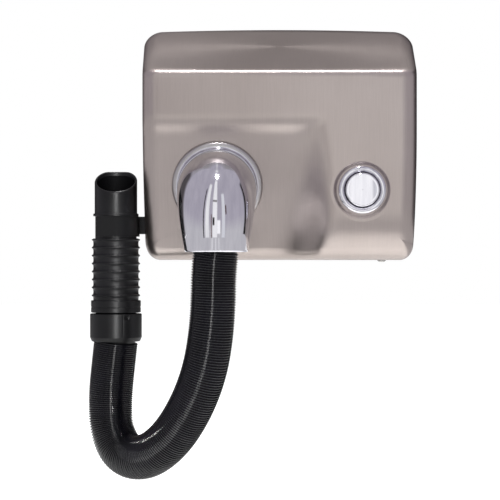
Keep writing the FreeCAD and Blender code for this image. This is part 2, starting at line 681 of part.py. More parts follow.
def scroll_front_half():
    tray = scroll_half(S.scroll_split, S.scroll_front, False)
    eye = rod(at_depth(S.fan_x, S.scroll_front - 5, S.fan_z), at_depth(S.fan_x, S.scroll_front + 1, S.fan_z),
              S.inlet_radius)
    tray = tray.cut(eye)
    for offset in BRACKET_SCREW_OFFSETS:
        tray = tray.cut(rod(at_depth(S.fan_x, S.scroll_front - 5, S.fan_z + offset),
                            at_depth(S.fan_x, S.scroll_front + 1, S.fan_z + offset), S.tie_radius + S.screw_gap))
    return tray


keep(made("fan_casing_back", scroll_half(S.scroll_back, S.scroll_split, True)), "fan_casing_back")
keep(made("fan_casing_front", scroll_front_half()), "fan_casing_front")

bush_length = "scroll_back - base_thickness"
bush = turned("bush", [("casing_screw_radius + screw_gap", "0"), ("bush_radius", "0"),
                       ("bush_radius - 1", "(%s)*0.35" % bush_length), ("bush_radius - 1", "(%s)*0.65" % bush_length),
                       ("bush_radius", bush_length), ("casing_screw_radius + screw_gap", bush_length)])
keep(copies("bushes", bush, [Placement(at_depth(spot.x, S.base_thickness, spot.z), TOWARDS["room"])
                             for spot in LUG_SPOTS]), "vibration_bushes")
casing_screw = turned("casing_screw", screw_corners("casing_screw_head", "casing_screw_head_height",
                                                    "casing_screw_radius",
                                                    "scroll_split + lug_thickness - 1"))
lug_top = S.scroll_split + S.lug_thickness
keep(copies("casing_screws", casing_screw, [Placement(at_depth(spot.x, lug_top, spot.z), TOWARDS["room"])
                                            for spot in LUG_SPOTS]), "fan_casing_screws")

# Base plate: a cast tray with bosses round its wall holes, posts for the heater box and two tabs
# for the screws that lock the cover on.

PLATE_SIDE = "cover_width/2 - sheet_thickness - rim_gap"
PLATE_TOP = "cover_height/2 - top_crown - sheet_thickness - rim_gap"
PLATE_BOTTOM = "sheet_thickness + rim_gap - cover_height/2"
DUCT_POST_X = "duct_x - plenum_half - duct_foot/2"
plenum_middle = OUTLET.z + (-OUTLET.y - S.scroll_front) * math.tan(tilt)
DUCT_POSTS_Z = (plenum_middle - S.plenum_half * 0.6, plenum_middle + S.plenum_half * 0.6)


def rectangle(left, right, low, high):
    return [(left, low), (right, low), (right, high), (left, high)]


def grown(body, kind, name, sketch, **formulas):
    """A pad or pocket towards the sketch's own side, checked to have added or removed material."""
    doc.recompute()
    before = body.Shape.Volume if body.Tip else 0.0
    item = feature(body, kind, name, sketch, **formulas)
    if kind == "Pocket":
        item.Reversed = True
        if "Length" not in formulas:
            item.Type = "ThroughAll"
    doc.recompute()
    change = item.Shape.Volume - before
    if change * (1 if kind == "Pad" else -1) <= 0:
        raise ValueError("%s changes nothing" % name)
    return item


def rounded_upright_edges(body, name, base, radius, direction):
    """Rounds the edges of a plate that run straight along one direction."""
    doc.recompute()
    picked = []
    for k, edge in enumerate(base.Shape.Edges, start=1):
        line = edge.Vertexes[-1].Point.sub(edge.Vertexes[0].Point)
        if line.Length > 0.1 and line.cross(direction).Length < 1e-6 * line.Length:
            picked.append("Edge%d" % k)
    item = body.newObject("PartDesign::Fillet", name)
    item.Base = (base, picked)
    return bind(item, Radius=radius)


base = doc.addObject("PartDesign::Body", "base_body")
outline = polygon_sketch(base, "base_outline", rectangle("0-(%s)" % PLATE_SIDE, PLATE_SIDE, PLATE_BOTTOM, PLATE_TOP))
slab = grown(base, "Pad", "base_slab", outline, Length="base_rim_height")
rounded_upright_edges(base, "base_corners", slab, "top_corner_radius - sheet_thickness - rim_gap",
                      Vector(0, 1, 0))
hollow = polygon_sketch(base, "base_hollow", rectangle(
    "base_rim_width - (%s)" % PLATE_SIDE, "(%s) - base_rim_width" % PLATE_SIDE,
    "(%s) + base_rim_width" % PLATE_BOTTOM, "(%s) - base_rim_width" % PLATE_TOP), lift="base_thickness")
grown(base, "Pocket", "base_tray", hollow, Length="base_rim_height")
wall_spots = [("%d*wall_hole_x" % side, "%d*wall_hole_z" % level) for side in (-1, 1) for level in (-1, 1)]
bosses = circle_sketch(base, "wall_bosses", [(x, z, "wall_boss_radius") for x, z in wall_spots])
grown(base, "Pad", "base_bosses", bosses, Length="wall_boss_height")
posts = circle_sketch(base, "duct_posts", [(DUCT_POST_X, str(z), "lug_radius - 1") for z in DUCT_POSTS_Z])
grown(base, "Pad", "base_posts", posts, Length="scroll_back")
for side, x in (("left", "lock_left_x"), ("right", "lock_right_x")):
    tab = polygon_sketch(base, side + "_tab", rectangle(x + " - tab_width/2", x + " + tab_width/2", PLATE_BOTTOM,
                                                        "(%s) + tab_height" % PLATE_BOTTOM))
    grown(base, "Pad", side + "_tab_pad", tab, Length="base_thickness + tab_depth")
holes = circle_sketch(base, "base_holes", [(x, z, "wall_hole_radius") for x, z in wall_spots]
                      + [("cable_hole_x", "cable_hole_z", "cable_hole_radius")]
                      + [(str(spot.x), str(spot.z), "casing_screw_radius + screw_gap") for spot in LUG_SPOTS]
                      + [(DUCT_POST_X, str(z), "tie_radius + screw_gap") for z in DUCT_POSTS_Z]
                      + [("earth_x", "earth_z", "lock_shank_radius")]
                      + [("button_x - switch_length/4", "bracket_foot_z", "tie_radius + screw_gap"),
                         ("button_x + switch_length/4", "bracket_foot_z", "tie_radius + screw_gap")])
grown(base, "Pocket", "base_drilled", holes)
tapped = circle_sketch(base, "tab_holes", [(x, "0 - lock_depth", "lock_shank_radius + screw_gap")
                                           for x in ("lock_left_x", "lock_right_x")],
                       role="XY_Plane", lift="0 - cover_height/2")
grown(base, "Pocket", "tab_drilled", tapped, Length="base_rim_height + tab_height + 3")
keep(base, "base_plate")

# Cable grommet, earth screw and terminal block on the base plate

lip = "grommet_lip"
keep(turned_at("grommet", [
    ("grommet_bore_radius", "0"), ("cable_hole_radius", "0"), ("cable_hole_radius", "base_thickness"),
    ("cable_hole_radius + " + lip, "base_thickness"), ("cable_hole_radius + %s - 1" % lip, "base_thickness + 2"),
    ("grommet_bore_radius + 1", "base_thickness + 4"), ("grommet_bore_radius", "base_thickness + 4")],
    ("cable_hole_x", "0", "cable_hole_z"), "room"), "cable_grommet")
keep(turned_at("earth", [
    ("0", "0"), ("lock_shank_radius", "0"), ("lock_shank_radius", "base_thickness"),
    ("lock_head_radius + 1", "base_thickness"), ("lock_head_radius + 1", "base_thickness + 1.2"),
    ("lock_head_radius", "base_thickness + 1.2"), ("lock_head_radius", "base_thickness + 4"),
    ("0", "base_thickness + 4")], ("earth_x", "0", "earth_z"), "room"), "earth_screw")

POLES = 3
terminal = box("terminal_body", ("terminal_length", "terminal_depth", "terminal_height"),
               ("terminal_x", "0 - base_thickness - terminal_depth", "terminal_z"))
entries = []
terminal_screw = turned("terminal_screw", screw_corners("casing_screw_head", "casing_screw_head_height",
                                                        "tie_radius", "terminal_depth*0.5"))
screw_places = []
for pole in range(POLES):
    across = "terminal_x + terminal_length*%g" % ((pole + 0.5) / POLES)
    entries.append(cylinder("entry_%d" % pole, "tie_radius*1.3", "terminal_height + 2",
                            (across, "0 - base_thickness - terminal_depth*0.4", "terminal_z - 1")))
    entries.append(cylinder("well_%d" % pole, "casing_screw_head + free_gap", "terminal_depth*0.35",
                            (across, "0 - base_thickness - terminal_depth*0.65", "terminal_z + terminal_height/2"),
                            "room"))
    entries.append(cylinder("tap_%d" % pole, "tie_radius + screw_gap", "terminal_depth*0.6",
                            (across, "0 - base_thickness - terminal_depth*0.1", "terminal_z + terminal_height/2"),
                            "room"))
    screw_places.append(Placement(at_depth(S.terminal_x + S.terminal_length * (pole + 0.5) / POLES,
                                           S.base_thickness + S.terminal_depth * 0.65,
                                           S.terminal_z + S.terminal_height / 2), TOWARDS["room"]))
keep(cut("terminal", terminal, *entries), "terminal_block")
keep(copies("terminal_screws", terminal_screw, screw_places), "terminal_screws")

# Fan wheel, shaft and motor, all on the fan axis and given by their depth from the wall

FAN_AXIS = ("fan_x", "0", "fan_z")
wheel = doc.addObject("PartDesign::Body", "wheel_body")
hub = polygon_sketch(wheel, "wheel_hub", [
    ("shaft_radius", "wheel_back"), ("wheel_radius", "wheel_back"),
    ("wheel_radius", "wheel_back + wheel_disc_thickness"),
    ("wheel_hub_radius + 2", "wheel_back + wheel_disc_thickness"),
    ("wheel_hub_radius", "wheel_back + wheel_disc_thickness + 2"),
    ("wheel_hub_radius", "wheel_back + wheel_hub_length"), ("shaft_radius", "wheel_back + wheel_hub_length")])
spun = feature(wheel, "Revolution", "wheel_disc", hub)
spun.ReferenceAxis = (hub, ["V_Axis"])
blade = polygon_sketch(wheel, "blade_outline", [
    ("0 - blade_lean", "wheel_inner_radius"), ("blade_thickness - blade_lean", "wheel_inner_radius"),
    ("blade_thickness*1.2", "wheel_radius - 0.4"), ("0", "wheel_radius - 0.4")],
    role="XY_Plane", lift="wheel_back + wheel_disc_thickness")
blade_pad = feature(wheel, "Pad", "blade", blade, Length="wheel_width - 2*wheel_disc_thickness")
doc.recompute()
spread = wheel.newObject("PartDesign::PolarPattern", "blades")
spread.Originals = [blade_pad]
spread.Axis = (blade, ["N_Axis"])
spread.Angle = FULL_TURN
bind(spread, Occurrences="blade_count")
wheel.Tip = spread
hoop = polygon_sketch(wheel, "wheel_ring", rectangle("wheel_inner_radius", "wheel_radius",
                                                     "wheel_back + wheel_width - wheel_disc_thickness",
                                                     "wheel_back + wheel_width"))
hoop_turn = feature(wheel, "Revolution", "wheel_front_ring", hoop)
hoop_turn.ReferenceAxis = (hoop, ["V_Axis"])
wheel.Tip = hoop_turn
keep(put(wheel, FAN_AXIS, "room"), "fan_wheel")

keep(turned_at("shaft", [
    ("0", "shaft_back"), ("shaft_radius - 0.5", "shaft_back"), ("shaft_radius", "shaft_back + 0.5"),
    ("shaft_radius", "shaft_front - 0.5"), ("shaft_radius - 0.5", "shaft_front"), ("0", "shaft_front")],
    FAN_AXIS, "room"), "motor_shaft")


def prism(name, corner_radius, height, at, towards):
    item = doc.addObject("Part::Prism", name)
    item.Polygon = 6
    return put(bind(item, Circumradius=corner_radius, Height=height), at, towards)


def on_fan_axis(depth):
    return ("fan_x", "0 - (%s)" % depth, "fan_z")


nut_height = "wheel_back - shaft_back - 0.6"
keep(cut("wheel_nut", prism("wheel_nut_body", "shaft_radius*1.8", nut_height, on_fan_axis("shaft_back + 0.6"), "room"),
         cylinder("wheel_nut_bore", "shaft_radius", "wheel_back", on_fan_axis("shaft_back - 1"), "room")),
     "fan_wheel_nut")


def on_shaft(depth, across=0.0, up=0.0):
    return at_depth(S.fan_x + across, depth, S.fan_z + up)


def shaft_pipe(near_wall, near_room, outer, inner):
    return pipe(on_shaft(near_wall), on_shaft(near_room), outer, inner)


def sector(inner, outer, first, last, near_wall, near_room):
    """Part of a ring round the fan axis, between two angles counted from X towards Z."""
    section = flat_face(on_shaft(near_wall, inner), on_shaft(near_wall, outer),
                        on_shaft(near_room, outer), on_shaft(near_room, inner))
    turned_in = section.copy()
    turned_in.rotate(on_shaft(0), Vector(0, -1, 0), first)
    return turned_in.revolve(on_shaft(0), Vector(0, -1, 0), last - first)


stator_room = S.stator_back + S.stator_length
slotted = shaft_pipe(S.stator_back, stator_room, S.armature_radius, S.shaft_radius)
for k in range(int(S.armature_slots)):
    width = S.blade_thickness * 1.6
    slot = Part.makeBox(S.armature_radius * 0.4, S.stator_length + 2, width,
                        on_shaft(stator_room + 1, S.armature_radius * 0.72, -width / 2))
    slot.rotate(on_shaft(0), Vector(0, 1, 0), FULL_TURN * k / S.armature_slots)
    slotted = slotted.cut(slot)
keep(made("armature", slotted), "armature_core")


def winding_end(near_wall, near_room):
    ring = shaft_pipe(near_wall, near_room, S.winding_radius, S.shaft_radius)
    return ring.makeFillet(S.winding_length * 0.3, [edge for edge in ring.Edges
                                                    if edge.Length > 6 * S.shaft_radius * 1.2])


keep(made("windings", Part.makeCompound([winding_end(S.stator_back - S.winding_length, S.stator_back),
                                         winding_end(stator_room, stator_room + S.winding_length)])),
     "armature_windings")
commutator_wall = stator_room + S.winding_length + 0.5
commutator_room = commutator_wall + S.commutator_length
keep(made("commutator", shaft_pipe(commutator_wall, commutator_room, S.commutator_radius, S.shaft_radius)),
     "commutator")

# Field core with two poles, its two saddle coils, the brackets with their bearings, and the brushes

yoke_inner = S.coil_outer_radius + 1
pole_half = 48.0
yoke = shaft_pipe(S.stator_back, stator_room, S.stator_radius, yoke_inner)
flats = Part.makeBox(2 * (yoke_inner + 3), S.stator_length + 2, 3 * S.stator_radius,
                     on_shaft(stator_room + 1, -yoke_inner - 3, -1.5 * S.stator_radius))
yoke = yoke.common(flats)
for middle in (90.0, 270.0):
    yoke = yoke.fuse(sector(S.stator_bore, yoke_inner + 1, middle - pole_half, middle + pole_half,
                            S.stator_back, stator_room))
for up in (-S.tie_offset, S.tie_offset):
    yoke = yoke.cut(rod(on_shaft(S.stator_back - 1, 0, up), on_shaft(stator_room + 1, 0, up),
                        S.tie_radius + S.screw_gap))
keep(made("field_core", yoke), "field_core")

coils = []
for middle in (90.0, 270.0):
    coil = sector(S.coil_inner_radius, S.coil_outer_radius, middle - 84, middle + 84,
                  S.stator_back - S.coil_overhang, stator_room + S.coil_overhang)
    window = sector(S.coil_inner_radius - 1, S.coil_outer_radius + 1, middle - pole_half - 2,
                    middle + pole_half + 2, S.stator_back - 0.3, stator_room + 0.3)
    coils.append(coil.cut(window))
keep(made("field_coils", Part.makeCompound(coils)), "field_coils")

cup_radius = S.bearing_radius + S.cup_wall
back_cup = (S.scroll_front, S.scroll_front + 2.5 + S.bearing_width)
front_bar = commutator_room + 0.5
front_cup = (front_bar, front_bar + 1 + S.bearing_width)


def bar(near_wall, near_room, half_across, half_up):
    return Part.makeBox(2 * half_across, near_room - near_wall, 2 * half_up,
                        on_shaft(near_room, -half_across, -half_up))


def tie_holes(shape, near_wall, near_room, offsets):
    for up in offsets:
        shape = shape.cut(rod(on_shaft(near_wall, 0, up), on_shaft(near_room, 0, up),
                              S.tie_radius + S.screw_gap))
    return shape


def back_bracket():
    near_room = S.scroll_front + S.bracket_thickness
    shape = bar(S.scroll_front, near_room, S.bracket_width / 2, S.bracket_reach)
    shape = shape.fuse(rod(on_shaft(back_cup[0]), on_shaft(back_cup[1]), cup_radius))
    for up in (-S.tie_offset, S.tie_offset):
        shape = shape.fuse(rod(on_shaft(near_room - 1, 0, up), on_shaft(S.stator_back, 0, up), S.post_radius))
    shape = tie_holes(shape, S.scroll_front - 1, S.stator_back + 1,
                      (-S.tie_offset, S.tie_offset) + BRACKET_SCREW_OFFSETS)
    shape = shape.cut(rod(on_shaft(back_cup[0] + 2.5), on_shaft(back_cup[1] + 1), S.bearing_radius))
    return shape.cut(rod(on_shaft(back_cup[0] - 1), on_shaft(back_cup[1]), S.shaft_radius + 1))


def front_bracket():
    near_room = front_bar + S.bracket_thickness
    shape = bar(front_bar, near_room, S.bracket_width / 2, S.tie_offset + S.post_radius)
    shape = shape.fuse(bar(front_bar, near_room, S.coil_outer_radius, S.brush_width))
    shape = shape.fuse(rod(on_shaft(front_cup[0]), on_shaft(front_cup[1]), cup_radius))
    for up in (-S.tie_offset, S.tie_offset):
        shape = shape.fuse(rod(on_shaft(stator_room, 0, up), on_shaft(front_bar + 1, 0, up), S.post_radius))
    shape = tie_holes(shape, stator_room - 1, near_room + 1, (-S.tie_offset, S.tie_offset))
    shape = shape.cut(rod(on_shaft(front_cup[0] + 1), on_shaft(front_cup[1] + 1), S.bearing_radius))
    return shape.cut(rod(on_shaft(front_cup[0] - 1), on_shaft(front_cup[1]), S.shaft_radius + 1))


keep(made("motor_back_bracket", back_bracket()), "motor_back_bracket")
keep(made("motor_front_bracket", front_bracket()), "motor_front_bracket")
bearing_bore = S.shaft_radius + S.running_gap
bearing_spots = (back_cup[0] + 2.5, front_cup[0] + 1)
keep(made("bearings", Part.makeCompound([shaft_pipe(near_wall, near_wall + S.bearing_width, S.bearing_radius,
                                                    bearing_bore) for near_wall in bearing_spots])),
     "ball_bearings")

tie_length = front_bar + S.bracket_thickness - S.scroll_front - 0.5
tie_screw = turned("tie_screw", screw_corners("tie_radius*1.9", "tie_radius*1.2", "tie_radius", str(tie_length)))
keep(copies("tie_screws", tie_screw, [Placement(on_shaft(front_bar + S.bracket_thickness, 0, up), TOWARDS["room"])
                                      for up in (-S.tie_offset, S.tie_offset)]), "motor_tie_screws")
bracket_screw = turned("bracket_screw", screw_corners("tie_radius*1.9", "tie_radius*1.2", "tie_radius",
                                                      "bracket_thickness + scroll_wall"))
keep(copies("bracket_screws", bracket_screw,
            [Placement(on_shaft(S.scroll_front + S.bracket_thickness, 0, up), TOWARDS["room"])
             for up in BRACKET_SCREW_OFFSETS]), "motor_bracket_screws")

brush_middle = (commutator_wall + commutator_room) / 2
holder_half = front_bar - brush_middle
brush_start = S.commutator_radius + S.free_gap
holders = []
brushes = []
for side in (-1, 1):
    holder_start = side * (S.commutator_radius + 2)
    holder_end = side * S.coil_outer_radius
    low = min(holder_start, holder_end)
    length = abs(holder_end - holder_start)
    holder = Part.makeBox(length, 2 * holder_half, 2 * holder_half,
                          on_shaft(front_bar, low, -holder_half))
    brush_half = S.brush_width / 2
    channel = Part.makeBox(length + 2, S.brush_width, S.brush_width,
                           on_shaft(brush_middle + brush_half, low - 1, -brush_half))
    holders.append(holder.cut(channel))
    low = min(side * brush_start, side * (brush_start + S.brush_length))
    brushes.append(Part.makeBox(S.brush_length, S.brush_width - 0.1, S.brush_width - 0.1,
                                on_shaft(brush_middle + brush_half - 0.05, low, 0.05 - brush_half)))
keep(made("brush_holders", Part.makeCompound(holders)), "brush_holders")
keep(made("brushes", Part.makeCompound(brushes)), "carbon_brushes")

# Heater box and tube. The box takes the air from the scroll's mouth, and the tube leads it out
# through the bay floor along the outlet's tilted axis.


def duct():
    half = S.plenum_half
    wall = S.duct_wall
    depth = S.scroll_front - S.scroll_back
    middle = Vector(S.duct_x, 0, plenum_middle)
    shell = Part.makeBox(2 * half, depth, 2 * half, Vector(middle.x - half, -S.scroll_front, middle.z - half))
    for z in DUCT_POSTS_Z:
        foot = Part.makeBox(S.duct_foot + 1, wall, S.duct_foot,
                            at_depth(middle.x - half - S.duct_foot, S.scroll_back + wall, z - S.duct_foot / 2))
        hole = rod(at_depth(middle.x - half - S.duct_foot / 2, S.scroll_back - 1, z),
                   at_depth(middle.x - half - S.duct_foot / 2, S.scroll_back + 5, z), S.tie_radius + S.screw_gap)
        shell = shell.fuse(foot.cut(hole))
    start = along_outlet((OUTLET.y + S.scroll_front) / math.cos(tilt) - 1)
    tube_end = -S.sheet_thickness - 0.5
    shell = shell.fuse(rod(start, along_outlet(tube_end), S.duct_outer_radius))
    shell = shell.fuse(rod(along_outlet(tube_end - 1), along_outlet(S.neck_length), S.neck_radius))
    hollow = Part.makeBox(2 * (half - wall), depth - 2 * wall, 2 * (half - wall),
                          Vector(middle.x - half + wall, wall - S.scroll_front, middle.z - half + wall))
    shell = shell.cut(hollow)
    back = along_outlet((OUTLET.y + S.scroll_front - 12) / math.cos(tilt))
    shoulder = tube_end - 2 * wall
    shell = shell.cut(rod(back, along_outlet(shoulder), S.duct_outer_radius - wall))
    shell = shell.cut(rod(along_outlet(shoulder - 1), along_outlet(S.neck_length + 1),
                          S.neck_radius - S.neck_wall))
    mouth = scroll_face(0, 0, PLENUM_RIGHT + 3).BoundBox
    tongue_z = scroll_spot(0, S.tongue_angle, 0).z
    opening = Part.makeBox(4 * wall, depth - 2 * S.scroll_wall, tongue_z - mouth.ZMin,
                           Vector(PLENUM_RIGHT - 2 * wall, S.scroll_wall - S.scroll_front, mouth.ZMin))
    shell = shell.cut(opening)
    return shell.cut(retaining_ring(S.ring_radius))


def retaining_ring(section):
    """A ring of round section, half sunk in the neck, that holds the elbow on."""
    return Part.makeTorus(S.neck_radius + 0.15, section, along_outlet(S.neck_length * 0.55), OUTLET_AXIS)


keep(made("heater_duct", duct()), "heater_duct")
keep(made("retaining_ring", retaining_ring(S.ring_radius)), "elbow_retaining_ring")
duct_screw = turned("duct_screw", screw_corners("tie_radius*1.9", "tie_radius*1.2", "tie_radius",
                                                "scroll_back + duct_wall - 1"))
keep(copies("duct_screws", duct_screw,
            [Placement(at_depth(PLENUM_RIGHT - 2 * S.plenum_half - S.duct_foot / 2, S.scroll_back + S.duct_wall, z),
                       TOWARDS["room"]) for z in DUCT_POSTS_Z]), "duct_screws")


def tangent_arc(start, corner, end):
    """The arc that touches both legs of a corner at their ends."""
    leg = start.distanceToPoint(corner)
    chord_middle = start.add(end).multiply(0.5)
    height = corner.distanceToPoint(chord_middle)
    radius = leg * start.distanceToPoint(end) / 2 / height
    sag = math.hypot(radius, leg) - radius
    return Part.Arc(start, corner.add(chord_middle.sub(corner).multiply(sag / height)), end).toShape()


def two_arcs(start, leaving, end, arriving):
    """Two arcs that lead smoothly from one point and direction to another."""
    chord = end.sub(start)
    along = chord.dot(leaving.add(arriving))
    spare = 2 * (1 - leaving.dot(arriving))
    reach = (math.sqrt(along ** 2 + spare * chord.dot(chord)) - along) / spare
    first = start.add(Vector(leaving).multiply(reach))
    last = end.sub(Vector(arriving).multiply(reach))
    middle = first.add(last).multiply(0.5)
    return [tangent_arc(start, first, middle), tangent_arc(middle, last, end)]


def winding(label, radius, wire_radius, turns, rise):
    """A round wire wound up along Z, its path two arcs to each quarter turn."""
    climb = rise / (turns * FULL_TURN)

    def station(degrees):
        angle = math.radians(degrees)
        place = Vector(radius * math.cos(angle), radius * math.sin(angle), climb * degrees)
        heading = Vector(-radius * math.sin(angle), radius * math.cos(angle), math.degrees(climb))
        return place, heading.normalize()

    edges = []
    for quarter in range(int(turns * 4)):
        start, leaving = station(90 * quarter)
        end, arriving = station(90 * quarter + 90)
        edges += two_arcs(start, leaving, end, arriving)
    place, heading = station(0)
    shell = Part.BRepOffsetAPI.MakePipeShell(Part.Wire(edges))
    shell.add(Part.Wire(Part.makeCircle(wire_radius, place, heading)))
    shell.build()
    shell.makeSolid()
    beside = [station(degrees)[0] for degrees in range(300, 421, 2)]
    gap = min(place.distanceToPoint(spot) for spot in beside) - 2 * wire_radius
    print("%s: least gap of the wire to itself %.2f mm" % (label, gap))
    return shell.shape()


def mica_cross():
    """Two crossed boards, wide at their ends to sit in the tube and narrow under the winding."""
    reach = S.duct_outer_radius - S.duct_wall - S.free_gap
    narrow = S.heater_coil_radius - S.heater_wire_radius - S.free_gap
    end = S.mica_length
    rim = 4.0
    corners = [(-reach, 0), (reach, 0), (reach, rim), (narrow, rim), (narrow, end - rim), (reach, end - rim),
               (reach, end), (-reach, end), (-reach, end - rim), (-narrow, end - rim), (-narrow, rim),
               (-reach, rim)]
    half = S.mica_thickness / 2
    board = flat_face(*[Vector(x, -half, z) for x, z in corners]).extrude(Vector(0, 2 * half, 0))
    other = board.copy()
    other.rotate(Vector(0, 0, 0), Vector(0, 0, 1), 90)
    return board.fuse(other)


HEATER_START = along_outlet(-S.sheet_thickness - 0.5 - 2 * S.duct_wall - 1 - S.mica_length)
ALONG_TUBE = Placement(HEATER_START, Rotation(Vector(0, 0, 1), OUTLET_AXIS))


def placed(shape, place):
    moved = shape.copy()
    moved.Placement = place.multiply(moved.Placement)
    return moved


keep(made("mica", placed(mica_cross(), ALONG_TUBE)), "heater_mica_cross")
WIRE_MARGIN = 6.0
heater_wire = winding("heater wire", S.heater_coil_radius, S.heater_wire_radius, S.heater_turns,
                      S.mica_length - 2 * WIRE_MARGIN)
heater_wire.translate(Vector(0, 0, WIRE_MARGIN))
keep(made("heater", placed(heater_wire, ALONG_TUBE)), "heater_winding")
cutout_top = "%g" % (plenum_middle + S.plenum_half)
keep(turned_at("cutout", [
    ("0", "0"), ("cutout_radius", "0"), ("cutout_radius", "3"), ("cutout_radius*0.75", "4"),
    ("cutout_radius*0.75", "7"), ("0", "7")],
    ("duct_x", "0 - (scroll_back + scroll_front)/2", cutout_top)), "thermal_cutout")

# Outlet elbow, which turns on the neck, and the adaptor that carries the hose

FACE_TO_CORNER = (S.outlet_depth + OUTLET.y) / math.cos(tilt)
ELBOW_TURN = 90.0 - S.bay_tilt
ELBOW_LEG = S.elbow_bend * math.tan(math.radians(ELBOW_TURN) / 2)


def elbow_station(turn):
    """Place and direction on the elbow's middle line after a number of degrees of its bend."""
    angle = math.radians(turn)
    start = along_outlet(FACE_TO_CORNER - ELBOW_LEG)
    middle = start.sub(Vector(BAY_UP).multiply(S.elbow_bend))
    outwards = Vector(OUTLET_AXIS).multiply(math.sin(angle)).add(Vector(BAY_UP).multiply(math.cos(angle)))
    heading = Vector(OUTLET_AXIS).multiply(math.cos(angle)).sub(Vector(BAY_UP).multiply(math.sin(angle)))
    return middle.add(outwards.multiply(S.elbow_bend)), heading


def elbow_loft(start, inset, lip):
    rings = [(along_outlet(start), OUTLET_AXIS, S.elbow_base_radius)]
    shrink = (S.elbow_base_radius - S.elbow_mid_radius) / 6
    for turn, radius in ((0, S.elbow_base_radius - shrink), (ELBOW_TURN * 0.25, S.elbow_base_radius - 3 * shrink),
                         (ELBOW_TURN * 0.5, S.elbow_mid_radius), (ELBOW_TURN * 0.75, S.elbow_mid_radius - 2.5),
                         (ELBOW_TURN, S.elbow_mid_radius - 5)):
        place, heading = elbow_station(turn)
        rings.append((place, heading, radius))
    rings.append((Vector(S.duct_x, -S.outlet_depth, lip), Vector(0, 0, -1), S.elbow_mouth_radius))
    return Part.makeLoft([Part.Wire(Part.makeCircle(radius - inset, place, heading))
                          for place, heading, radius in rings], True, False)


def elbow():
    foot = S.free_gap
    flange = rod(along_outlet(foot), along_outlet(foot + S.elbow_flange_thickness), S.elbow_flange_radius)
    front = [edge for edge in flange.Edges if edge.Closed
             and edge.CenterOfMass.distanceToPoint(along_outlet(foot + S.elbow_flange_thickness)) < 0.01]
    flange = flange.makeFillet(S.elbow_flange_thickness - 0.5, front)
    body = flange.fuse(elbow_loft(foot + 2, 0, S.outlet_lip))
    seat = S.neck_length + 2 * S.free_gap
    inner = elbow_loft(foot, S.elbow_wall, S.outlet_lip - 1)
    inner = inner.cut(rod(along_outlet(foot - 10), along_outlet(seat), 2 * S.elbow_flange_radius))
    body = body.cut(inner)
    body = body.cut(rod(along_outlet(foot - 1), along_outlet(seat + 1), S.neck_radius + S.free_gap))
    return body.cut(retaining_ring(S.ring_radius + S.free_gap))


def hose_adaptor():
    """A plug that fills the elbow behind its lip, with a spigot for the hose."""
    low = S.outlet_lip + S.adaptor_recess
    axis_top = Vector(S.duct_x, -S.outlet_depth, low + S.adaptor_length)
    axis_low = Vector(S.duct_x, -S.outlet_depth, low)
    axis_end = Vector(S.duct_x, -S.outlet_depth, low - S.spigot_reach)
    slab = rod(axis_top, axis_low, 2 * S.elbow_mouth_radius)
    plugged = elbow_loft(S.free_gap, S.elbow_wall, S.outlet_lip - 1).common(slab)
    plugged = plugged.fuse(rod(Vector(axis_low).add(Vector(0, 0, 1)), axis_end, S.spigot_radius))
    return plugged.cut(rod(axis_top.add(Vector(0, 0, 10)), axis_end.sub(Vector(0, 0, 1)),
                           S.spigot_radius - S.spigot_wall))


keep(made("elbow", elbow()), "outlet_elbow")
keep(made("adaptor", hose_adaptor()), "hose_adaptor")

# Start button: chrome bezel, its nut, the cap on its sprung stem, and the switch behind it

BUTTON_AXIS = ("button_x", "0", "button_z")
SEAT = "cover_depth - dish_depth"
BARREL_END = SEAT + " - bezel_barrel_length"
BEZEL_FRONT = SEAT + " + bezel_rise"
BEZEL_BORE = "cap_radius + free_gap + 0.2"
REAR_WALL = "cap_wall + 0.5"
keep(turned_at("bezel", [
    ("stem_radius + free_gap", BARREL_END), ("bezel_barrel_radius", BARREL_END), ("bezel_barrel_radius", SEAT),
    ("bezel_radius", SEAT), ("bezel_radius", BEZEL_FRONT + " - 1.5"), ("bezel_radius - 1.5", BEZEL_FRONT),
    (BEZEL_BORE + " + 1", BEZEL_FRONT), (BEZEL_BORE, BEZEL_FRONT + " - 1"),
    (BEZEL_BORE, BARREL_END + " + " + REAR_WALL), ("stem_radius + free_gap", BARREL_END + " + " + REAR_WALL)],
    BUTTON_AXIS, "room"), "button_bezel")


def on_button_axis(depth):
    return ("button_x", "0 - (%s)" % depth, "button_z")


NUT_BACK = SEAT + " - sheet_thickness - bezel_nut_thickness"
keep(cut("bezel_nut", prism("bezel_nut_body", "bezel_nut_radius", "bezel_nut_thickness",
                            on_button_axis(NUT_BACK), "room"),
         cylinder("bezel_nut_bore", "bezel_barrel_radius", "bezel_nut_thickness + 2",
                  on_button_axis(NUT_BACK + " - 1"), "room")), "button_bezel_nut")

CAP_FRONT = BEZEL_FRONT + " + cap_rise"
CAP_INSIDE = CAP_FRONT + " - cap_wall"
keep(turned_at("cap", [
    ("stem_radius", CAP_INSIDE + " - 5"), ("stem_radius + 2", CAP_INSIDE + " - 5"), ("stem_radius + 2", CAP_INSIDE),
    ("cap_radius - cap_wall", CAP_INSIDE), ("cap_radius - cap_wall", CAP_FRONT + " - cap_length"),
    ("cap_radius", CAP_FRONT + " - cap_length"), ("cap_radius", CAP_FRONT + " - 1.6"),
    ("cap_radius - 1.2", CAP_FRONT + " - 0.6"), ("cap_radius*0.6", CAP_FRONT), ("0", CAP_FRONT),
    ("0", CAP_INSIDE), ("stem_radius", CAP_INSIDE)], BUTTON_AXIS, "room"), "button_cap")
keep(turned_at("stem", [
    ("0", "stem_tip"), ("1", "stem_tip"), ("stem_radius", "stem_tip + 1.5"), ("stem_radius", CAP_INSIDE),
    ("0", CAP_INSIDE)], BUTTON_AXIS, "room"), "button_stem")
CLIP_FRONT = BARREL_END + " - free_gap"
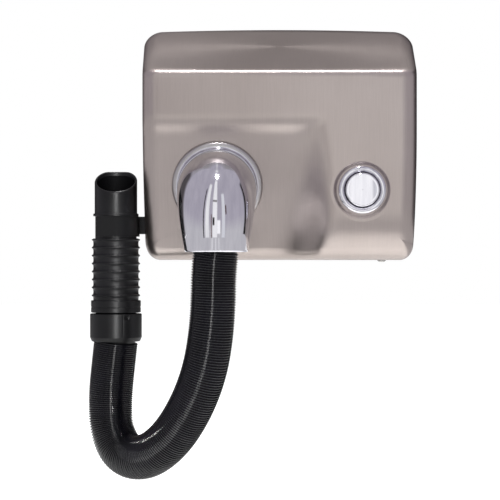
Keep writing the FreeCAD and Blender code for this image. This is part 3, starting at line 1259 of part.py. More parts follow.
keep(turned_at("stem_clip", rectangle("stem_radius", "stem_radius + 2.5", CLIP_FRONT + " - 1.2", CLIP_FRONT),
               BUTTON_AXIS, "room"), "button_stem_clip")


spring_back = S.cover_depth - S.dish_depth - S.bezel_barrel_length + S.cap_wall + 0.5
spring_front = S.cover_depth - S.dish_depth + S.bezel_rise + S.cap_rise - S.cap_wall
spring = winding("button spring", S.spring_radius, S.spring_wire_radius, S.spring_turns,
                 spring_front - spring_back - 2 * S.spring_wire_radius - S.free_gap)
keep(made("spring", placed(spring, Placement(at_depth(S.button_x, spring_back + S.spring_wire_radius + S.free_gap / 2,
                                                      S.button_z), TOWARDS["room"]))), "button_spring")

# Microswitch: body with two ears, lever on its pin, plunger; held by an upright bracket

SWITCH_LEFT = S.button_x - S.pivot_offset - 2
SWITCH_LOW = S.button_z - S.switch_width / 2
PIVOT = at_depth(S.button_x - S.pivot_offset, S.switch_top + S.pivot_rise, S.button_z)
EAR = 1.5
SWITCH_HOLES = [(SWITCH_LEFT + 4, S.switch_top - S.switch_height + 4),
                (SWITCH_LEFT + S.switch_length - 4, S.switch_top - S.switch_height + 4)]
PLUNGER_TIP = S.switch_top + 3.5
PLUNGER_END = PLUNGER_TIP - 8.5


def microswitch():
    body = Part.makeBox(S.switch_length, S.switch_height, S.switch_width,
                        at_depth(SWITCH_LEFT, S.switch_top, SWITCH_LOW))
    for low in (SWITCH_LOW, SWITCH_LOW + S.switch_width - EAR):
        ear = Part.makeBox(4, S.pivot_rise + 3, EAR, at_depth(SWITCH_LEFT, S.switch_top + S.pivot_rise + 2, low))
        body = body.fuse(ear)
    above = Vector(0, 0, S.switch_width)
    body = body.cut(rod(PIVOT.sub(above), PIVOT.add(above), S.pin_radius))
    plunger_x = PIVOT.x + S.plunger_offset
    body = body.cut(rod(at_depth(plunger_x, PLUNGER_END - 2.5, S.button_z),
                        at_depth(plunger_x, S.switch_top + 1, S.button_z), S.plunger_radius + 0.1))
    for x, depth in SWITCH_HOLES:
        body = body.cut(rod(at_depth(x, depth, SWITCH_LOW - 1), at_depth(x, depth, SWITCH_LOW + S.switch_width + 1),
                            S.board_screw_radius + S.screw_gap))
    return body


def switch_lever():
    """A thin blade on a barrel, leaning so that it stays just short of the stem's tip."""
    contact = S.pivot_offset + 1
    drop = S.stem_tip - S.free_gap - S.switch_top - S.pivot_rise - S.lever_thickness / 2
    barrel = rod(Vector(0, 0, -S.lever_width / 2), Vector(0, 0, S.lever_width / 2), 2 * S.pin_radius)
    blade = Part.makeBox(S.lever_reach, S.lever_thickness, S.lever_width,
                         Vector(0, -S.lever_thickness / 2, -S.lever_width / 2))
    lever = barrel.fuse(blade).cut(rod(Vector(0, 0, -S.lever_width), Vector(0, 0, S.lever_width),
                                       S.pin_radius + S.running_gap))
    lever.rotate(Vector(0, 0, 0), Vector(0, 0, 1), -math.degrees(math.atan2(drop, contact)))
    lever.translate(PIVOT)
    return lever


keep(made("switch", microswitch()), "microswitch")
pin_half = Vector(0, 0, S.switch_width / 2)
keep(made("lever_pin", rod(PIVOT.sub(pin_half), PIVOT.add(pin_half), S.pin_radius)), "lever_pin")
keep(made("lever", switch_lever()), "switch_lever")
keep(turned_at("plunger", [
    ("0", "%g" % PLUNGER_END), ("plunger_radius", "%g" % PLUNGER_END), ("plunger_radius", "%g - 0.6" % PLUNGER_TIP),
    ("plunger_radius*0.5", "%g" % PLUNGER_TIP), ("0", "%g" % PLUNGER_TIP)],
    ("button_x - pivot_offset + plunger_offset", "0", "button_z"), "room"), "switch_plunger")

BRACKET_SHEET = 1.5
FOOT_HEIGHT = 12.0


def switch_bracket():
    low = SWITCH_LOW - BRACKET_SHEET
    room = S.switch_top - 2
    web = Part.makeBox(S.switch_length, room - S.base_thickness, BRACKET_SHEET, at_depth(SWITCH_LEFT, room, low))
    foot = Part.makeBox(S.switch_length, BRACKET_SHEET, FOOT_HEIGHT,
                        at_depth(SWITCH_LEFT, S.base_thickness + BRACKET_SHEET, low - FOOT_HEIGHT + BRACKET_SHEET))
    bracket = web.fuse(foot)
    for x, depth in SWITCH_HOLES:
        bracket = bracket.cut(rod(at_depth(x, depth, low - 1), at_depth(x, depth, SWITCH_LOW + 1),
                                  S.board_screw_radius + S.screw_gap))
    for x in FOOT_SCREWS_X:
        bracket = bracket.cut(rod(at_depth(x, 0, S.bracket_foot_z), at_depth(x, 10, S.bracket_foot_z),
                                  S.tie_radius + S.screw_gap))
    return bracket


FOOT_SCREWS_X = (S.button_x - S.switch_length / 4, S.button_x + S.switch_length / 4)
keep(made("switch_bracket", switch_bracket()), "switch_bracket")
switch_screw = turned("switch_screw", screw_corners("board_screw_radius*1.8", "board_screw_radius*1.2",
                                                    "board_screw_radius", "switch_width + 1.5"))
keep(copies("switch_screws", switch_screw,
            [Placement(at_depth(x, depth, SWITCH_LOW + S.switch_width), TOWARDS["up"])
             for x, depth in SWITCH_HOLES]), "switch_screws")
foot_screw = turned("foot_screw", screw_corners("tie_radius*1.9", "tie_radius*1.2", "tie_radius",
                                                "base_thickness + 1.5"))
keep(copies("foot_screws", foot_screw,
            [Placement(at_depth(x, S.base_thickness + BRACKET_SHEET, S.bracket_foot_z), TOWARDS["room"])
             for x in FOOT_SCREWS_X]), "bracket_foot_screws")

# Timer board on four standoffs, with its relay, transformer and capacitor

BOARD_BACK = "0 - board_depth - board_thickness"
HOLE_XS = ("board_x + board_hole_inset", "board_x + board_width - board_hole_inset")
HOLE_ZS = ("board_z + board_hole_inset", "board_z + board_height - board_hole_inset")
board_holes = [cylinder("board_hole_%d%d" % (i, j), "board_screw_radius + screw_gap", "board_thickness + 2",
                        (x, "1 - board_depth", z), "room")
               for i, x in enumerate(HOLE_XS) for j, z in enumerate(HOLE_ZS)]
keep(cut("board", box("board_slab", ("board_width", "board_thickness", "board_height"),
                      ("board_x", BOARD_BACK, "board_z")), *board_holes), "timer_board")
hole_spots = [(x, z) for x in (S.board_x + S.board_hole_inset, S.board_x + S.board_width - S.board_hole_inset)
              for z in (S.board_z + S.board_hole_inset, S.board_z + S.board_height - S.board_hole_inset)]
standoff = turned("standoff", rectangle("board_screw_radius + screw_gap", "board_screw_radius*2.2",
                                        "0", "board_depth - base_thickness"))
keep(copies("standoffs", standoff, [Placement(at_depth(x, S.base_thickness, z), TOWARDS["room"])
                                    for x, z in hole_spots]), "board_standoffs")
board_screw = turned("board_screw", screw_corners("board_screw_radius*1.8", "board_screw_radius*1.2",
                                                  "board_screw_radius", "board_thickness + 7"))
keep(copies("board_screws", board_screw, [Placement(at_depth(x, S.board_depth + S.board_thickness, z),
                                                    TOWARDS["room"]) for x, z in hole_spots]), "board_screws")


def on_board(name, extents, across, up):
    width, depth, height = extents
    return box(name, extents, ("board_x + %s" % across, "%s - %s" % (BOARD_BACK, depth), "board_z + %s" % up))


keep(on_board("relay", ("19", "15.6", "15.4"), "8", "10"), "timer_relay")
keep(on_board("transformer", ("22", "19", "24"), "30", "6"), "timer_transformer")
keep(turned_at("capacitor", [("0", "0"), ("5.6", "0"), ("6.3", "0.6"), ("6.3", "19.4"), ("5.8", "20"), ("0", "20")],
               ("board_x + 61", BOARD_BACK, "board_z + 18"), "room"), "timer_capacitor")

# Clip on the cover's left side: a cradle, open to the left, with an arm that is screwed on from inside


def handle_clip():
    axis = at_depth(S.handle_x, S.handle_depth, S.clip_top)
    low = Vector(axis).sub(Vector(0, 0, S.clip_height))
    inner = S.neck_band_radius + S.free_gap + 0.1
    outer = inner + S.clip_wall
    band = rod(low, axis, outer)
    band = band.fuse(Part.makeBox(S.clip_reach, 2 * outer, S.clip_height, low.sub(Vector(S.clip_reach, outer, 0))))
    right = -S.cover_width / 2 + 8
    arm = Part.makeBox(right - S.handle_x, S.clip_arm_depth, S.clip_arm,
                       at_depth(S.handle_x, S.clip_arm_middle + S.clip_arm_depth / 2, S.clip_top - S.clip_arm))
    band = band.fuse(arm.cut(COVER_OUTSIDE))
    band = band.cut(rod(low.sub(Vector(0, 0, 1)), axis.add(Vector(0, 0, 1)), inner))
    band = band.cut(Part.makeBox(2 * outer, 2 * inner, S.clip_height + 2,
                                 low.sub(Vector(2 * outer, inner, 1))))
    for x, depth in clip_screw_heads():
        band = band.cut(rod(at_depth(x + 1, depth, CLIP_MIDDLE),
                            at_depth(x - S.clip_screw_length - S.free_gap, depth, CLIP_MIDDLE),
                            S.clip_screw_radius + S.screw_gap))
    return band


def clip_screw_heads():
    """Undersides of the heads, against the inner face of the drafted side."""
    spots = []
    for depth in CLIP_SCREW_DEPTHS:
        reach = depth + S.clip_screw_radius * 1.9
        side = S.cover_width / 2 - reach * math.tan(math.radians(S.draft_angle)) - S.sheet_thickness
        spots.append((S.head_gap - side, depth))
    return spots


keep(made("clip", handle_clip()), "handle_clip")
clip_screw = turned("clip_screw", screw_corners("clip_screw_radius*1.9", "clip_screw_radius*1.2",
                                                "clip_screw_radius", "clip_screw_length"))
keep(copies("clip_screws", clip_screw, [Placement(at_depth(x, depth, CLIP_MIDDLE), TOWARDS["right"])
                                        for x, depth in clip_screw_heads()]), "clip_screws")

# Hand nozzle: black nozzle with a slanted mouth, ribbed grip, and the cuff that it swivels in

HANDLE_AXIS = ("handle_x", "0 - handle_depth", "0")
NOZZLE_BORE = "nozzle_radius - nozzle_wall"
FLANGE_LOW = "clip_top + free_gap"
FLANGE_HIGH = FLANGE_LOW + " + flange_thickness"
SPIGOT = "neck_band_radius - 1"
nozzle = turned("nozzle", [
    (NOZZLE_BORE, "mouth_top"), ("nozzle_radius", "mouth_top"), ("nozzle_radius", FLANGE_HIGH),
    ("flange_radius - 0.6", FLANGE_HIGH), ("flange_radius", FLANGE_HIGH + " - 0.6"),
    ("flange_radius", FLANGE_LOW), ("neck_band_radius", FLANGE_LOW), ("neck_band_radius", "grip_top"),
    (SPIGOT, "grip_top"), (SPIGOT, "grip_top - spigot_length"),
    (SPIGOT + " - nozzle_wall + 0.1", "grip_top - spigot_length"),
    (SPIGOT + " - nozzle_wall + 0.1", "grip_top + 1"), (NOZZLE_BORE, "grip_top + 3")])
lip_height = "mouth_top - mouth_drop"
slant = polygon_sketch(nozzle, "mouth_slant", [
    ("0 - nozzle_radius - 2", lip_height + " - 2*tan(mouth_angle)"),
    ("nozzle_radius + 2", lip_height + " + (2*nozzle_radius + 2)*tan(mouth_angle)"),
    ("nozzle_radius + 2", "mouth_top + 10"), ("0 - nozzle_radius - 2", "mouth_top + 10")], role="YZ_Plane")
doc.recompute()
whole_nozzle = nozzle.Shape.Volume
mouth = feature(nozzle, "Pocket", "mouth_pocket", slant)
mouth.Type = "ThroughAll"
mouth.Midplane = True
doc.recompute()
if mouth.Shape.Volume >= whole_nozzle:
    raise ValueError("the slanted mouth cuts nothing")
keep(put(nozzle, HANDLE_AXIS), "nozzle")

COLLAR_TOP = "grip_bottom + collar_height"
TAIL_END = "grip_bottom - tail_length"
TAIL_BORE = "tail_radius - 2.5"
grip = turned("grip", [
    (SPIGOT, "grip_top"), ("grip_radius", "grip_top"), ("grip_radius", COLLAR_TOP), ("collar_radius", COLLAR_TOP),
    ("collar_radius", "grip_bottom"), ("tail_radius", "grip_bottom"), ("tail_radius", TAIL_END + " + 6.3"),
    ("tail_radius + bead_rise", TAIL_END + " + 5.1"), ("tail_radius + bead_rise", TAIL_END + " + 3.9"),
    ("tail_radius", TAIL_END + " + 2.7"), ("tail_radius", TAIL_END), (TAIL_BORE, TAIL_END),
    (TAIL_BORE, "grip_top - spigot_length - 0.5"), (SPIGOT, "grip_top - spigot_length - 0.5")])
ring = polygon_sketch(grip, "ring_outline", [
    ("grip_radius - 0.4", "grip_ring_top"), ("grip_radius - 0.4", "grip_ring_top - grip_ring_width"),
    ("grip_ring_radius", "grip_ring_top - grip_ring_width + 0.4"), ("grip_ring_radius", "grip_ring_top - 0.4")])
first_ring = feature(grip, "Revolution", "first_ring", ring)
first_ring.ReferenceAxis = (ring, ["V_Axis"])
doc.recompute()
rings = grip.newObject("PartDesign::LinearPattern", "ring_row")
rings.Originals = [first_ring]
rings.Direction = (ring, ["V_Axis"])
rings.Reversed = True
bind(rings, Length="(grip_rings - 1)*grip_ring_pitch", Occurrences="grip_rings")
grip.Tip = rings
keep(put(grip, HANDLE_AXIS), "grip")

CUFF_TOP = "grip_bottom - cuff_gap"
CUFF_LOW = CUFF_TOP + " - cuff_height"
CUFF_BORE = "tail_radius + free_gap"
GROOVE = "tail_radius + bead_rise + free_gap"
cuff = turned("cuff", [
    (CUFF_BORE, CUFF_TOP), ("cuff_radius - 0.6", CUFF_TOP), ("cuff_radius", CUFF_TOP + " - 0.6"),
    ("cuff_radius", CUFF_LOW + " + 4"), ("cuff_radius - 1.8", CUFF_LOW), ("spigot_radius", CUFF_LOW),
    ("spigot_radius", CUFF_LOW + " - spigot_reach"), ("spigot_radius - spigot_wall", CUFF_LOW + " - spigot_reach"),
    ("spigot_radius - spigot_wall", TAIL_END + " - 0.7"), (CUFF_BORE, TAIL_END + " - 0.7"),
    (CUFF_BORE, TAIL_END + " + 2.2"), (GROOVE, TAIL_END + " + 3.4"), (GROOVE, TAIL_END + " + 5.6"),
    (CUFF_BORE, TAIL_END + " + 6.8")])
keep(put(cuff, HANDLE_AXIS), "hose_cuff")

# Stretch hose from the cuff down, round and up into the elbow. It hangs in one upright plane, its
# route given as distances along that plane from the handle's axis, and as heights.

HOSE_START = Vector(S.handle_x, -S.handle_depth, 0)
HOSE_SIDEWAYS = Vector(S.duct_x - S.handle_x, S.handle_depth - S.outlet_depth, 0)
HOSE_SPAN = HOSE_SIDEWAYS.Length
HOSE_SIDEWAYS.normalize()
HOSE_NORMAL = HOSE_SIDEWAYS.cross(Vector(0, 0, 1))
HOSE_LOW = S.grip_bottom - S.cuff_gap - S.cuff_height
HOSE_HIGH = S.outlet_lip + S.adaptor_recess
HOSE_ROUTE = [(0, HOSE_LOW), (0, -257), (-7.5, -280), (-3, -298), (10.5, -311), (29, -316), (57, -307), (82, -283),
              (99.5, -255.5), (112.5, -226), (120, -199), (HOSE_SPAN, -171), (HOSE_SPAN, HOSE_HIGH)]
LEG_SHARE = 0.45


def route_edges(points):
    """Straight runs joined by tangent arcs, each as large as its two runs allow."""
    edges = []
    here = points[0]
    for before, corner, after in zip(points, points[1:], points[2:]):
        leg = LEG_SHARE * min(before.distanceToPoint(corner), corner.distanceToPoint(after))
        start = corner.add(before.sub(corner).normalize().multiply(leg))
        end = corner.add(after.sub(corner).normalize().multiply(leg))
        edges += [Part.LineSegment(here, start).toShape(), tangent_arc(start, corner, end)]
        here = end
    edges.append(Part.LineSegment(here, points[-1]).toShape())
    return edges


def circle_on(edges, distance, radius):
    """A circle square to the route, its own X always along the normal of the hose's plane."""
    for edge in edges[:-1]:
        if distance <= edge.Length:
            break
        distance -= edge.Length
    else:
        edge = edges[-1]
    parameter = edge.getParameterByLength(min(distance, edge.Length))
    place, heading = edge.valueAt(parameter), edge.tangentAt(parameter)
    ring = Part.Wire(Part.makeCircle(radius))
    ring.Placement = Placement(place, Rotation(HOSE_NORMAL, Vector(), heading, "ZXY"))
    return ring


def rib_starts(length):
    """Distances at which the ribs begin, closer under the cuff than under the elbow."""
    starts = []
    distance = S.hose_plain_end
    while distance < length - S.hose_plain_end:
        starts.append(distance)
        share = distance / length
        distance += S.rib_pitch_tight + (S.rib_pitch_wide - S.rib_pitch_tight) * share
    return starts, distance


def hose():
    points = [HOSE_START.add(Vector(HOSE_SIDEWAYS).multiply(along)).add(Vector(0, 0, height))
              for along, height in HOSE_ROUTE]
    edges = route_edges(points)
    radii = [edge.Curve.Radius for edge in edges if hasattr(edge.Curve, "Radius")]
    print("hose: radii of its bends " + ", ".join("%.1f" % radius for radius in radii))
    length = sum(edge.Length for edge in edges)
    starts, last = rib_starts(length)
    stations = [(0.0, S.hose_radius)]
    for start, end in zip(starts, starts[1:] + [last]):
        pitch = end - start
        stations += [(start, S.hose_root_radius), (start + 0.2 * pitch, S.hose_radius),
                     (start + 0.6 * pitch, S.hose_radius), (start + 0.8 * pitch, S.hose_root_radius)]
    stations += [(last, S.hose_root_radius), (length, S.hose_radius)]
    outside = Part.makeLoft([circle_on(edges, distance, radius) for distance, radius in stations], False, True)
    inside = Part.Wire(edges).makePipeShell([circle_on(edges, 0, S.hose_bore_radius)], False, False)
    ends = [Part.Face(circle_on(edges, distance, S.hose_radius)).cut(
        Part.Face(circle_on(edges, distance, S.hose_bore_radius))).Faces[0] for distance in (0, length)]
    skin = Part.Shell(outside.Faces + inside.Faces + ends)
    skin.sewShape()
    shape = Part.Solid(skin)
    expected = 0.0
    for (start, near), (end, far) in zip(stations, stations[1:]):
        expected += math.pi * (end - start) * ((near * near + near * far + far * far) / 3 - S.hose_bore_radius ** 2)
    print("hose: %d ribs, length %.1f mm, volume %.0f mm3, section times length %.0f mm3"
          % (len(starts), length, shape.Volume, expected))
    return shape


keep(made("hose", hose()), "hose")

# Checks and export: every object sound, one file for each node

doc.recompute()
for item in doc.Objects:
    if "Invalid" in item.State or "Error" in item.State:
        raise ValueError("%s is in a bad state: %s" % (item.Label, item.State))
for item in nodes:
    shape = item.Shape
    if shape.isNull() or not shape.isValid() or not shape.Solids:
        raise ValueError("%s has no sound solid" % item.Label)
os.makedirs("parts", exist_ok=True)
for item in nodes:
    item.Shape.exportStep("parts/%s.step" % item.Label)
print("%d nodes written" % len(nodes))
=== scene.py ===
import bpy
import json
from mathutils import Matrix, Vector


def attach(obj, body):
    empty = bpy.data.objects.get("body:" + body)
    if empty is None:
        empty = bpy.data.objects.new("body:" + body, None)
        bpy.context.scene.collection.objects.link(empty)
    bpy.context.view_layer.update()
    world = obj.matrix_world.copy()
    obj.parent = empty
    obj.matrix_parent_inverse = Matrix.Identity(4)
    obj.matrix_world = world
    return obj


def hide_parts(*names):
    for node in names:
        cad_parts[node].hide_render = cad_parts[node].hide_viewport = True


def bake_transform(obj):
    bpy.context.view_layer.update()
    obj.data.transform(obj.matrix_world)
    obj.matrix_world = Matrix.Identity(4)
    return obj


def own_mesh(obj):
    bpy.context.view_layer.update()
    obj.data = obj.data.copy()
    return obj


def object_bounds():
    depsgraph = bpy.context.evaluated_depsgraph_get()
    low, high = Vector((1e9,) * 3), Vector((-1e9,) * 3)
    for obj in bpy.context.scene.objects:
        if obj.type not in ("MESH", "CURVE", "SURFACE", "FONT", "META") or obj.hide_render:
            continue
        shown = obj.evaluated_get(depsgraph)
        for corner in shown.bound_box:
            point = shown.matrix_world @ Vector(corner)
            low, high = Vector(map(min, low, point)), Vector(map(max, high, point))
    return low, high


bl_info = {
    "name": "Pet Dryer",
    "version": (1, 0, 0),
    "blender": (4, 5, 0),
    "location": "3D View > Sidebar > Dryer",
    "description": "Wall dryer with a brushed cover, a chrome outlet elbow, a stretch hose and a hand nozzle",
    "category": "Object",
}

import json
import math

import bpy
import numpy as np
from bpy.props import FloatProperty, FloatVectorProperty, IntProperty, PointerProperty
from mathutils import Vector

# The frame is the solids' own, in metres: X right along the wall, Y into the wall, Z up, and the
# origin in the middle of the base plate's back. Sizes of pieces are in millimetres, and a depth is
# a distance out from the wall.

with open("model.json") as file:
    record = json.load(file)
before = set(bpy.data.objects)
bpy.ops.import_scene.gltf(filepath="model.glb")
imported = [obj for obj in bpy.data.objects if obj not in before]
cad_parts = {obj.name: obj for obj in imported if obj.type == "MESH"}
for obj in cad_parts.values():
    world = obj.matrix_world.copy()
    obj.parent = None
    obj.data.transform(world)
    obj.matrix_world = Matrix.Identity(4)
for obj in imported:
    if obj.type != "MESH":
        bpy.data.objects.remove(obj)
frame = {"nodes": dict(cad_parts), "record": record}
SOLIDS_BOX = [list(corner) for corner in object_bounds()]
MM = 0.001
UP = np.array((0.0, 0.0, 1.0))
TOWARDS_RIGHT = np.array((1.0, 0.0, 0.0))
TOWARDS_ROOM = np.array((0.0, -1.0, 0.0))
WHITE = (1.0, 1.0, 1.0, 1.0)


# Colour and nodes


def linear(code):
    """Linear red, green, blue and full alpha from an sRGB hex colour."""
    parts = [int(code[k:k + 2], 16) / 255 for k in (1, 3, 5)]
    return tuple([p / 12.92 if p <= 0.04045 else ((p + 0.055) / 1.055) ** 2.4 for p in parts] + [1.0])


def add(tree, kind, inputs=None, links=None, **settings):
    """Adds one node: its own settings, its sockets' numbers and what is linked to its sockets, where a
    node stands for its first output."""
    made = tree.nodes.new(kind)
    for name, value in settings.items():
        setattr(made, name, value)
    for name, value in (inputs or {}).items():
        made.inputs[name].default_value = value
    for name, source in (links or {}).items():
        tree.links.new(getattr(source, "outputs", [source])[0], made.inputs[name])
    return made


def new_material(name):
    """A material with an empty node tree, and that tree."""
    material = bpy.data.materials.new(name)
    material.use_nodes = True
    material.node_tree.nodes.clear()
    return material, material.node_tree


def shades(tree, source, low, high, start=0.35, end=0.65):
    """Two linear colours spread over a pattern's range."""
    ramp = add(tree, "ShaderNodeValToRGB", links={"Fac": source})
    for element, position, colour in zip(ramp.color_ramp.elements, (start, end), (low, high)):
        element.position = position
        element.color = colour
    return ramp.outputs["Color"]


def grain(tree, widths, detail, roughness=0.5, turn=(0, 0, 0)):
    """A cloudy pattern from the real width of its cells in metres, along X, Y and Z or all ways alike.
    A pattern's scale is one over that width."""
    place = add(tree, "ShaderNodeTexCoord").outputs["Object"]
    scale = [1 / width for width in np.broadcast_to(widths, 3)]
    spread = add(tree, "ShaderNodeMapping", {"Scale": scale, "Rotation": turn}, {"Vector": place})
    return add(tree, "ShaderNodeTexNoise", {"Scale": 1.0, "Detail": detail, "Roughness": roughness},
               {"Vector": spread})


def shine(tree, base, rough, height, relief, inputs, links=None):
    """Ends a finish with its shader. The height of its pattern becomes a relief with a strength and
    a depth in millimetres."""
    bump = add(tree, "ShaderNodeBump", {"Strength": relief[0], "Distance": relief[1] * MM},
               {"Height": height})
    shader = add(tree, "ShaderNodeBsdfPrincipled", inputs,
                 {"Base Color": base, "Roughness": rough, "Normal": bump, **(links or {})})
    add(tree, "ShaderNodeOutputMaterial", links={"Surface": shader})


def grained(name, patterns, shade, roughness, relief, inputs):
    """A finish whose shade and roughness follow the first of its patterns and whose relief follows the
    last. A pattern is its widths and its detail."""
    material, tree = new_material(name)
    drawn = [grain(tree, *pattern) for pattern in patterns]
    rough = add(tree, "ShaderNodeMapRange",
                {"From Min": 0.3, "From Max": 0.7, "To Min": roughness[0], "To Max": roughness[1]},
                {"Value": drawn[0]})
    shine(tree, shades(tree, drawn[0], *shade), rough, drawn[-1], relief, inputs)
    return material


# Sizes and colours that a user would change


def length(name, description, size):
    """A length in millimetres, kept in metres."""
    return FloatProperty(name=name, description=description, default=size * MM, unit="LENGTH",
                         subtype="DISTANCE")


def colour(name, description, code):
    """A colour from its sRGB hex code."""
    return FloatVectorProperty(name=name, description=description, default=linear(code), size=4,
                               subtype="COLOR")


class DryerSizes(bpy.types.PropertyGroup):
    hose_radius: length("Hose radius", "Hose over its ribs", 22.0)
    rib_height: length("Rib height", "Height of the hose's ribs", 1.8)
    pitch_under_cuff: length("Rib spacing at the cuff", "Where the hose is slack", 2.07)
    pitch_under_elbow: length("Rib spacing at the elbow", "Where the hose is stretched", 2.5)
    stroke_width: length("Brush stroke", "Width of the cover's strokes", 0.4)
    pit_width: length("Mould pits", "Width of the black plastic's pits", 0.8)
    hose_sides: IntProperty(name="Hose sides", description="Faces round the hose", default=72, min=24)


class DryerColours(bpy.types.PropertyGroup):
    cover_dark: colour("Cover, dark", "Dark strokes of the brushed cover", "#B5ABA6")
    cover_light: colour("Cover, light", "Light strokes of the brushed cover", "#BFB5B0")
    chrome_dark: colour("Chrome, dark", "Cloudy parts of the chrome", "#D3D2D8")
    chrome_light: colour("Chrome, light", "Clear parts of the chrome", "#DEDDE2")
    plastic_dark: colour("Plastic, dark", "Dark shade of the nozzle, grip, cuff and clip", "#060607")
    plastic_light: colour("Plastic, light", "Light shade of the nozzle, grip, cuff and clip", "#0B0B0D")
    hose_dark: colour("Hose, dark", "Dark shade of the stretch hose", "#07070A")
    hose_light: colour("Hose, light", "Light shade of the stretch hose", "#0C0C11")
    floor: colour("Floor", "Colour of the floor", "#F4F4F4")


# Finishes of what shows. Each is made from the scene's sizes and colours.


def brushed_stainless(scene):
    """Stainless steel sheet, pressed and then brushed up and down. The strokes run with the height
    on the front and the sides and with the slope on top, and make the reflections soft and wide.
    They are drawn coarser than real ones, so that they show."""
    material, tree = new_material("brushed_stainless")
    colours, stroke = scene.dryer_colours, scene.dryer_sizes.stroke_width
    run = 70 * stroke
    front, sides = [grain(tree, widths, 6.0, 0.65) for widths in ((stroke, run, run), (run, stroke, run))]
    facing = add(tree, "ShaderNodeSeparateXYZ",
                 links={"Vector": add(tree, "ShaderNodeNewGeometry").outputs["Normal"]})
    sideways = add(tree, "ShaderNodeMath", links={0: facing.outputs["X"]}, operation="ABSOLUTE")
    turn = add(tree, "ShaderNodeMapRange", {"From Min": 0.6, "From Max": 0.8}, {"Value": sideways})
    brushed = add(tree, "ShaderNodeMix", links={"Factor": turn, "A": front, "B": sides})
    base = shades(tree, brushed, colours.cover_dark, colours.cover_light, 0.3, 0.7)
    clouds = shades(tree, grain(tree, 111 * MM, 3.0), linear("#DAD6D4"), WHITE)
    tint = add(tree, "ShaderNodeMix", {"Factor": 0.3}, {"A": base, "B": clouds}, data_type="RGBA",
               blend_type="MULTIPLY")
    rough = add(tree, "ShaderNodeMapRange",
                {"From Min": 0.25, "From Max": 0.75, "To Min": 0.29, "To Max": 0.36}, {"Value": brushed})
    level = add(tree, "ShaderNodeTangent", direction_type="RADIAL", axis="Z")
    shine(tree, tint.outputs["Result"], rough, brushed, (0.08, 0.02),
          {"Metallic": 1.0, "Anisotropic": 0.45}, {"Tangent": level})
    return material


def polished_chrome(scene):
    """Brass or zinc, polished and chromium plated. Faint cloudiness and wiping marks break the mirror.
    Where a piece's satin attribute is 1, it was blasted before it was plated."""
    material, tree = new_material("polished_chrome")
    marks = grain(tree, (3.85 * MM, 11.1 * MM, 33.3 * MM), 5.0, turn=(0.3, 0.5, 0.2))
    bright = shades(tree, marks, scene.dryer_colours.chrome_dark, scene.dryer_colours.chrome_light)
    rough = add(tree, "ShaderNodeMapRange", {"To Min": 0.035, "To Max": 0.085}, {"Value": marks})
    satin = add(tree, "ShaderNodeAttribute", attribute_name="satin").outputs["Fac"]
    blasted = add(tree, "ShaderNodeMath", {1: 0.26}, {0: satin, 2: rough}, operation="MULTIPLY_ADD")
    base = add(tree, "ShaderNodeMix", {"B": linear("#B7B4B4")}, {"Factor": satin, "A": bright},
               data_type="RGBA")
    shine(tree, base.outputs["Result"], blasted, marks, (0.04, 0.02), {"Metallic": 1.0})
    return material


def moulded_abs(scene):
    """Black ABS moulded against a spark-eroded tool, whose fine pits make its sheen matt. They are
    drawn wider than real ones, so that they show."""
    shade = scene.dryer_colours.plastic_dark, scene.dryer_colours.plastic_light
    patterns = (45.5 * MM, 4.0), (scene.dryer_sizes.pit_width, 3.0)
    return grained("moulded_abs", patterns, shade, (0.3, 0.42), (0.35, 0.06), {"IOR": 1.36})


def painted_shade_bore(scene):
    """The inside of the nozzle with painted shade: the same black ABS made darker, matter and less reflective
    than the outside, so that the bore looks deeply shaded.
    """
    shade = linear("#020203"), linear("#050506")
    patterns = [(scene.dryer_sizes.pit_width, 3.0)]
    return grained("abs_bore_painted_shade", patterns, shade, (0.56, 0.64), (0.6, 0.1), {"IOR": 1.15})


def soft_pvc(scene):
    """Black stretch hose of extruded PVC, satin from the die, with a fine grain in its relief."""
    shade = scene.dryer_colours.hose_dark, scene.dryer_colours.hose_light
    patterns = (25.0 * MM, 4.0), (0.6 * MM, 2.0)
    return grained("soft_pvc", patterns, shade, (0.08, 0.15), (0.1, 0.03), {"IOR": 1.46})


# Finishes of the back and of what the cover hides. A row holds the real material and how it was
# made, its two shades, its metalness, its roughness, the grain's width and its height in
# millimetres, and how far it is drawn out along X, Y and Z where that isn't even.

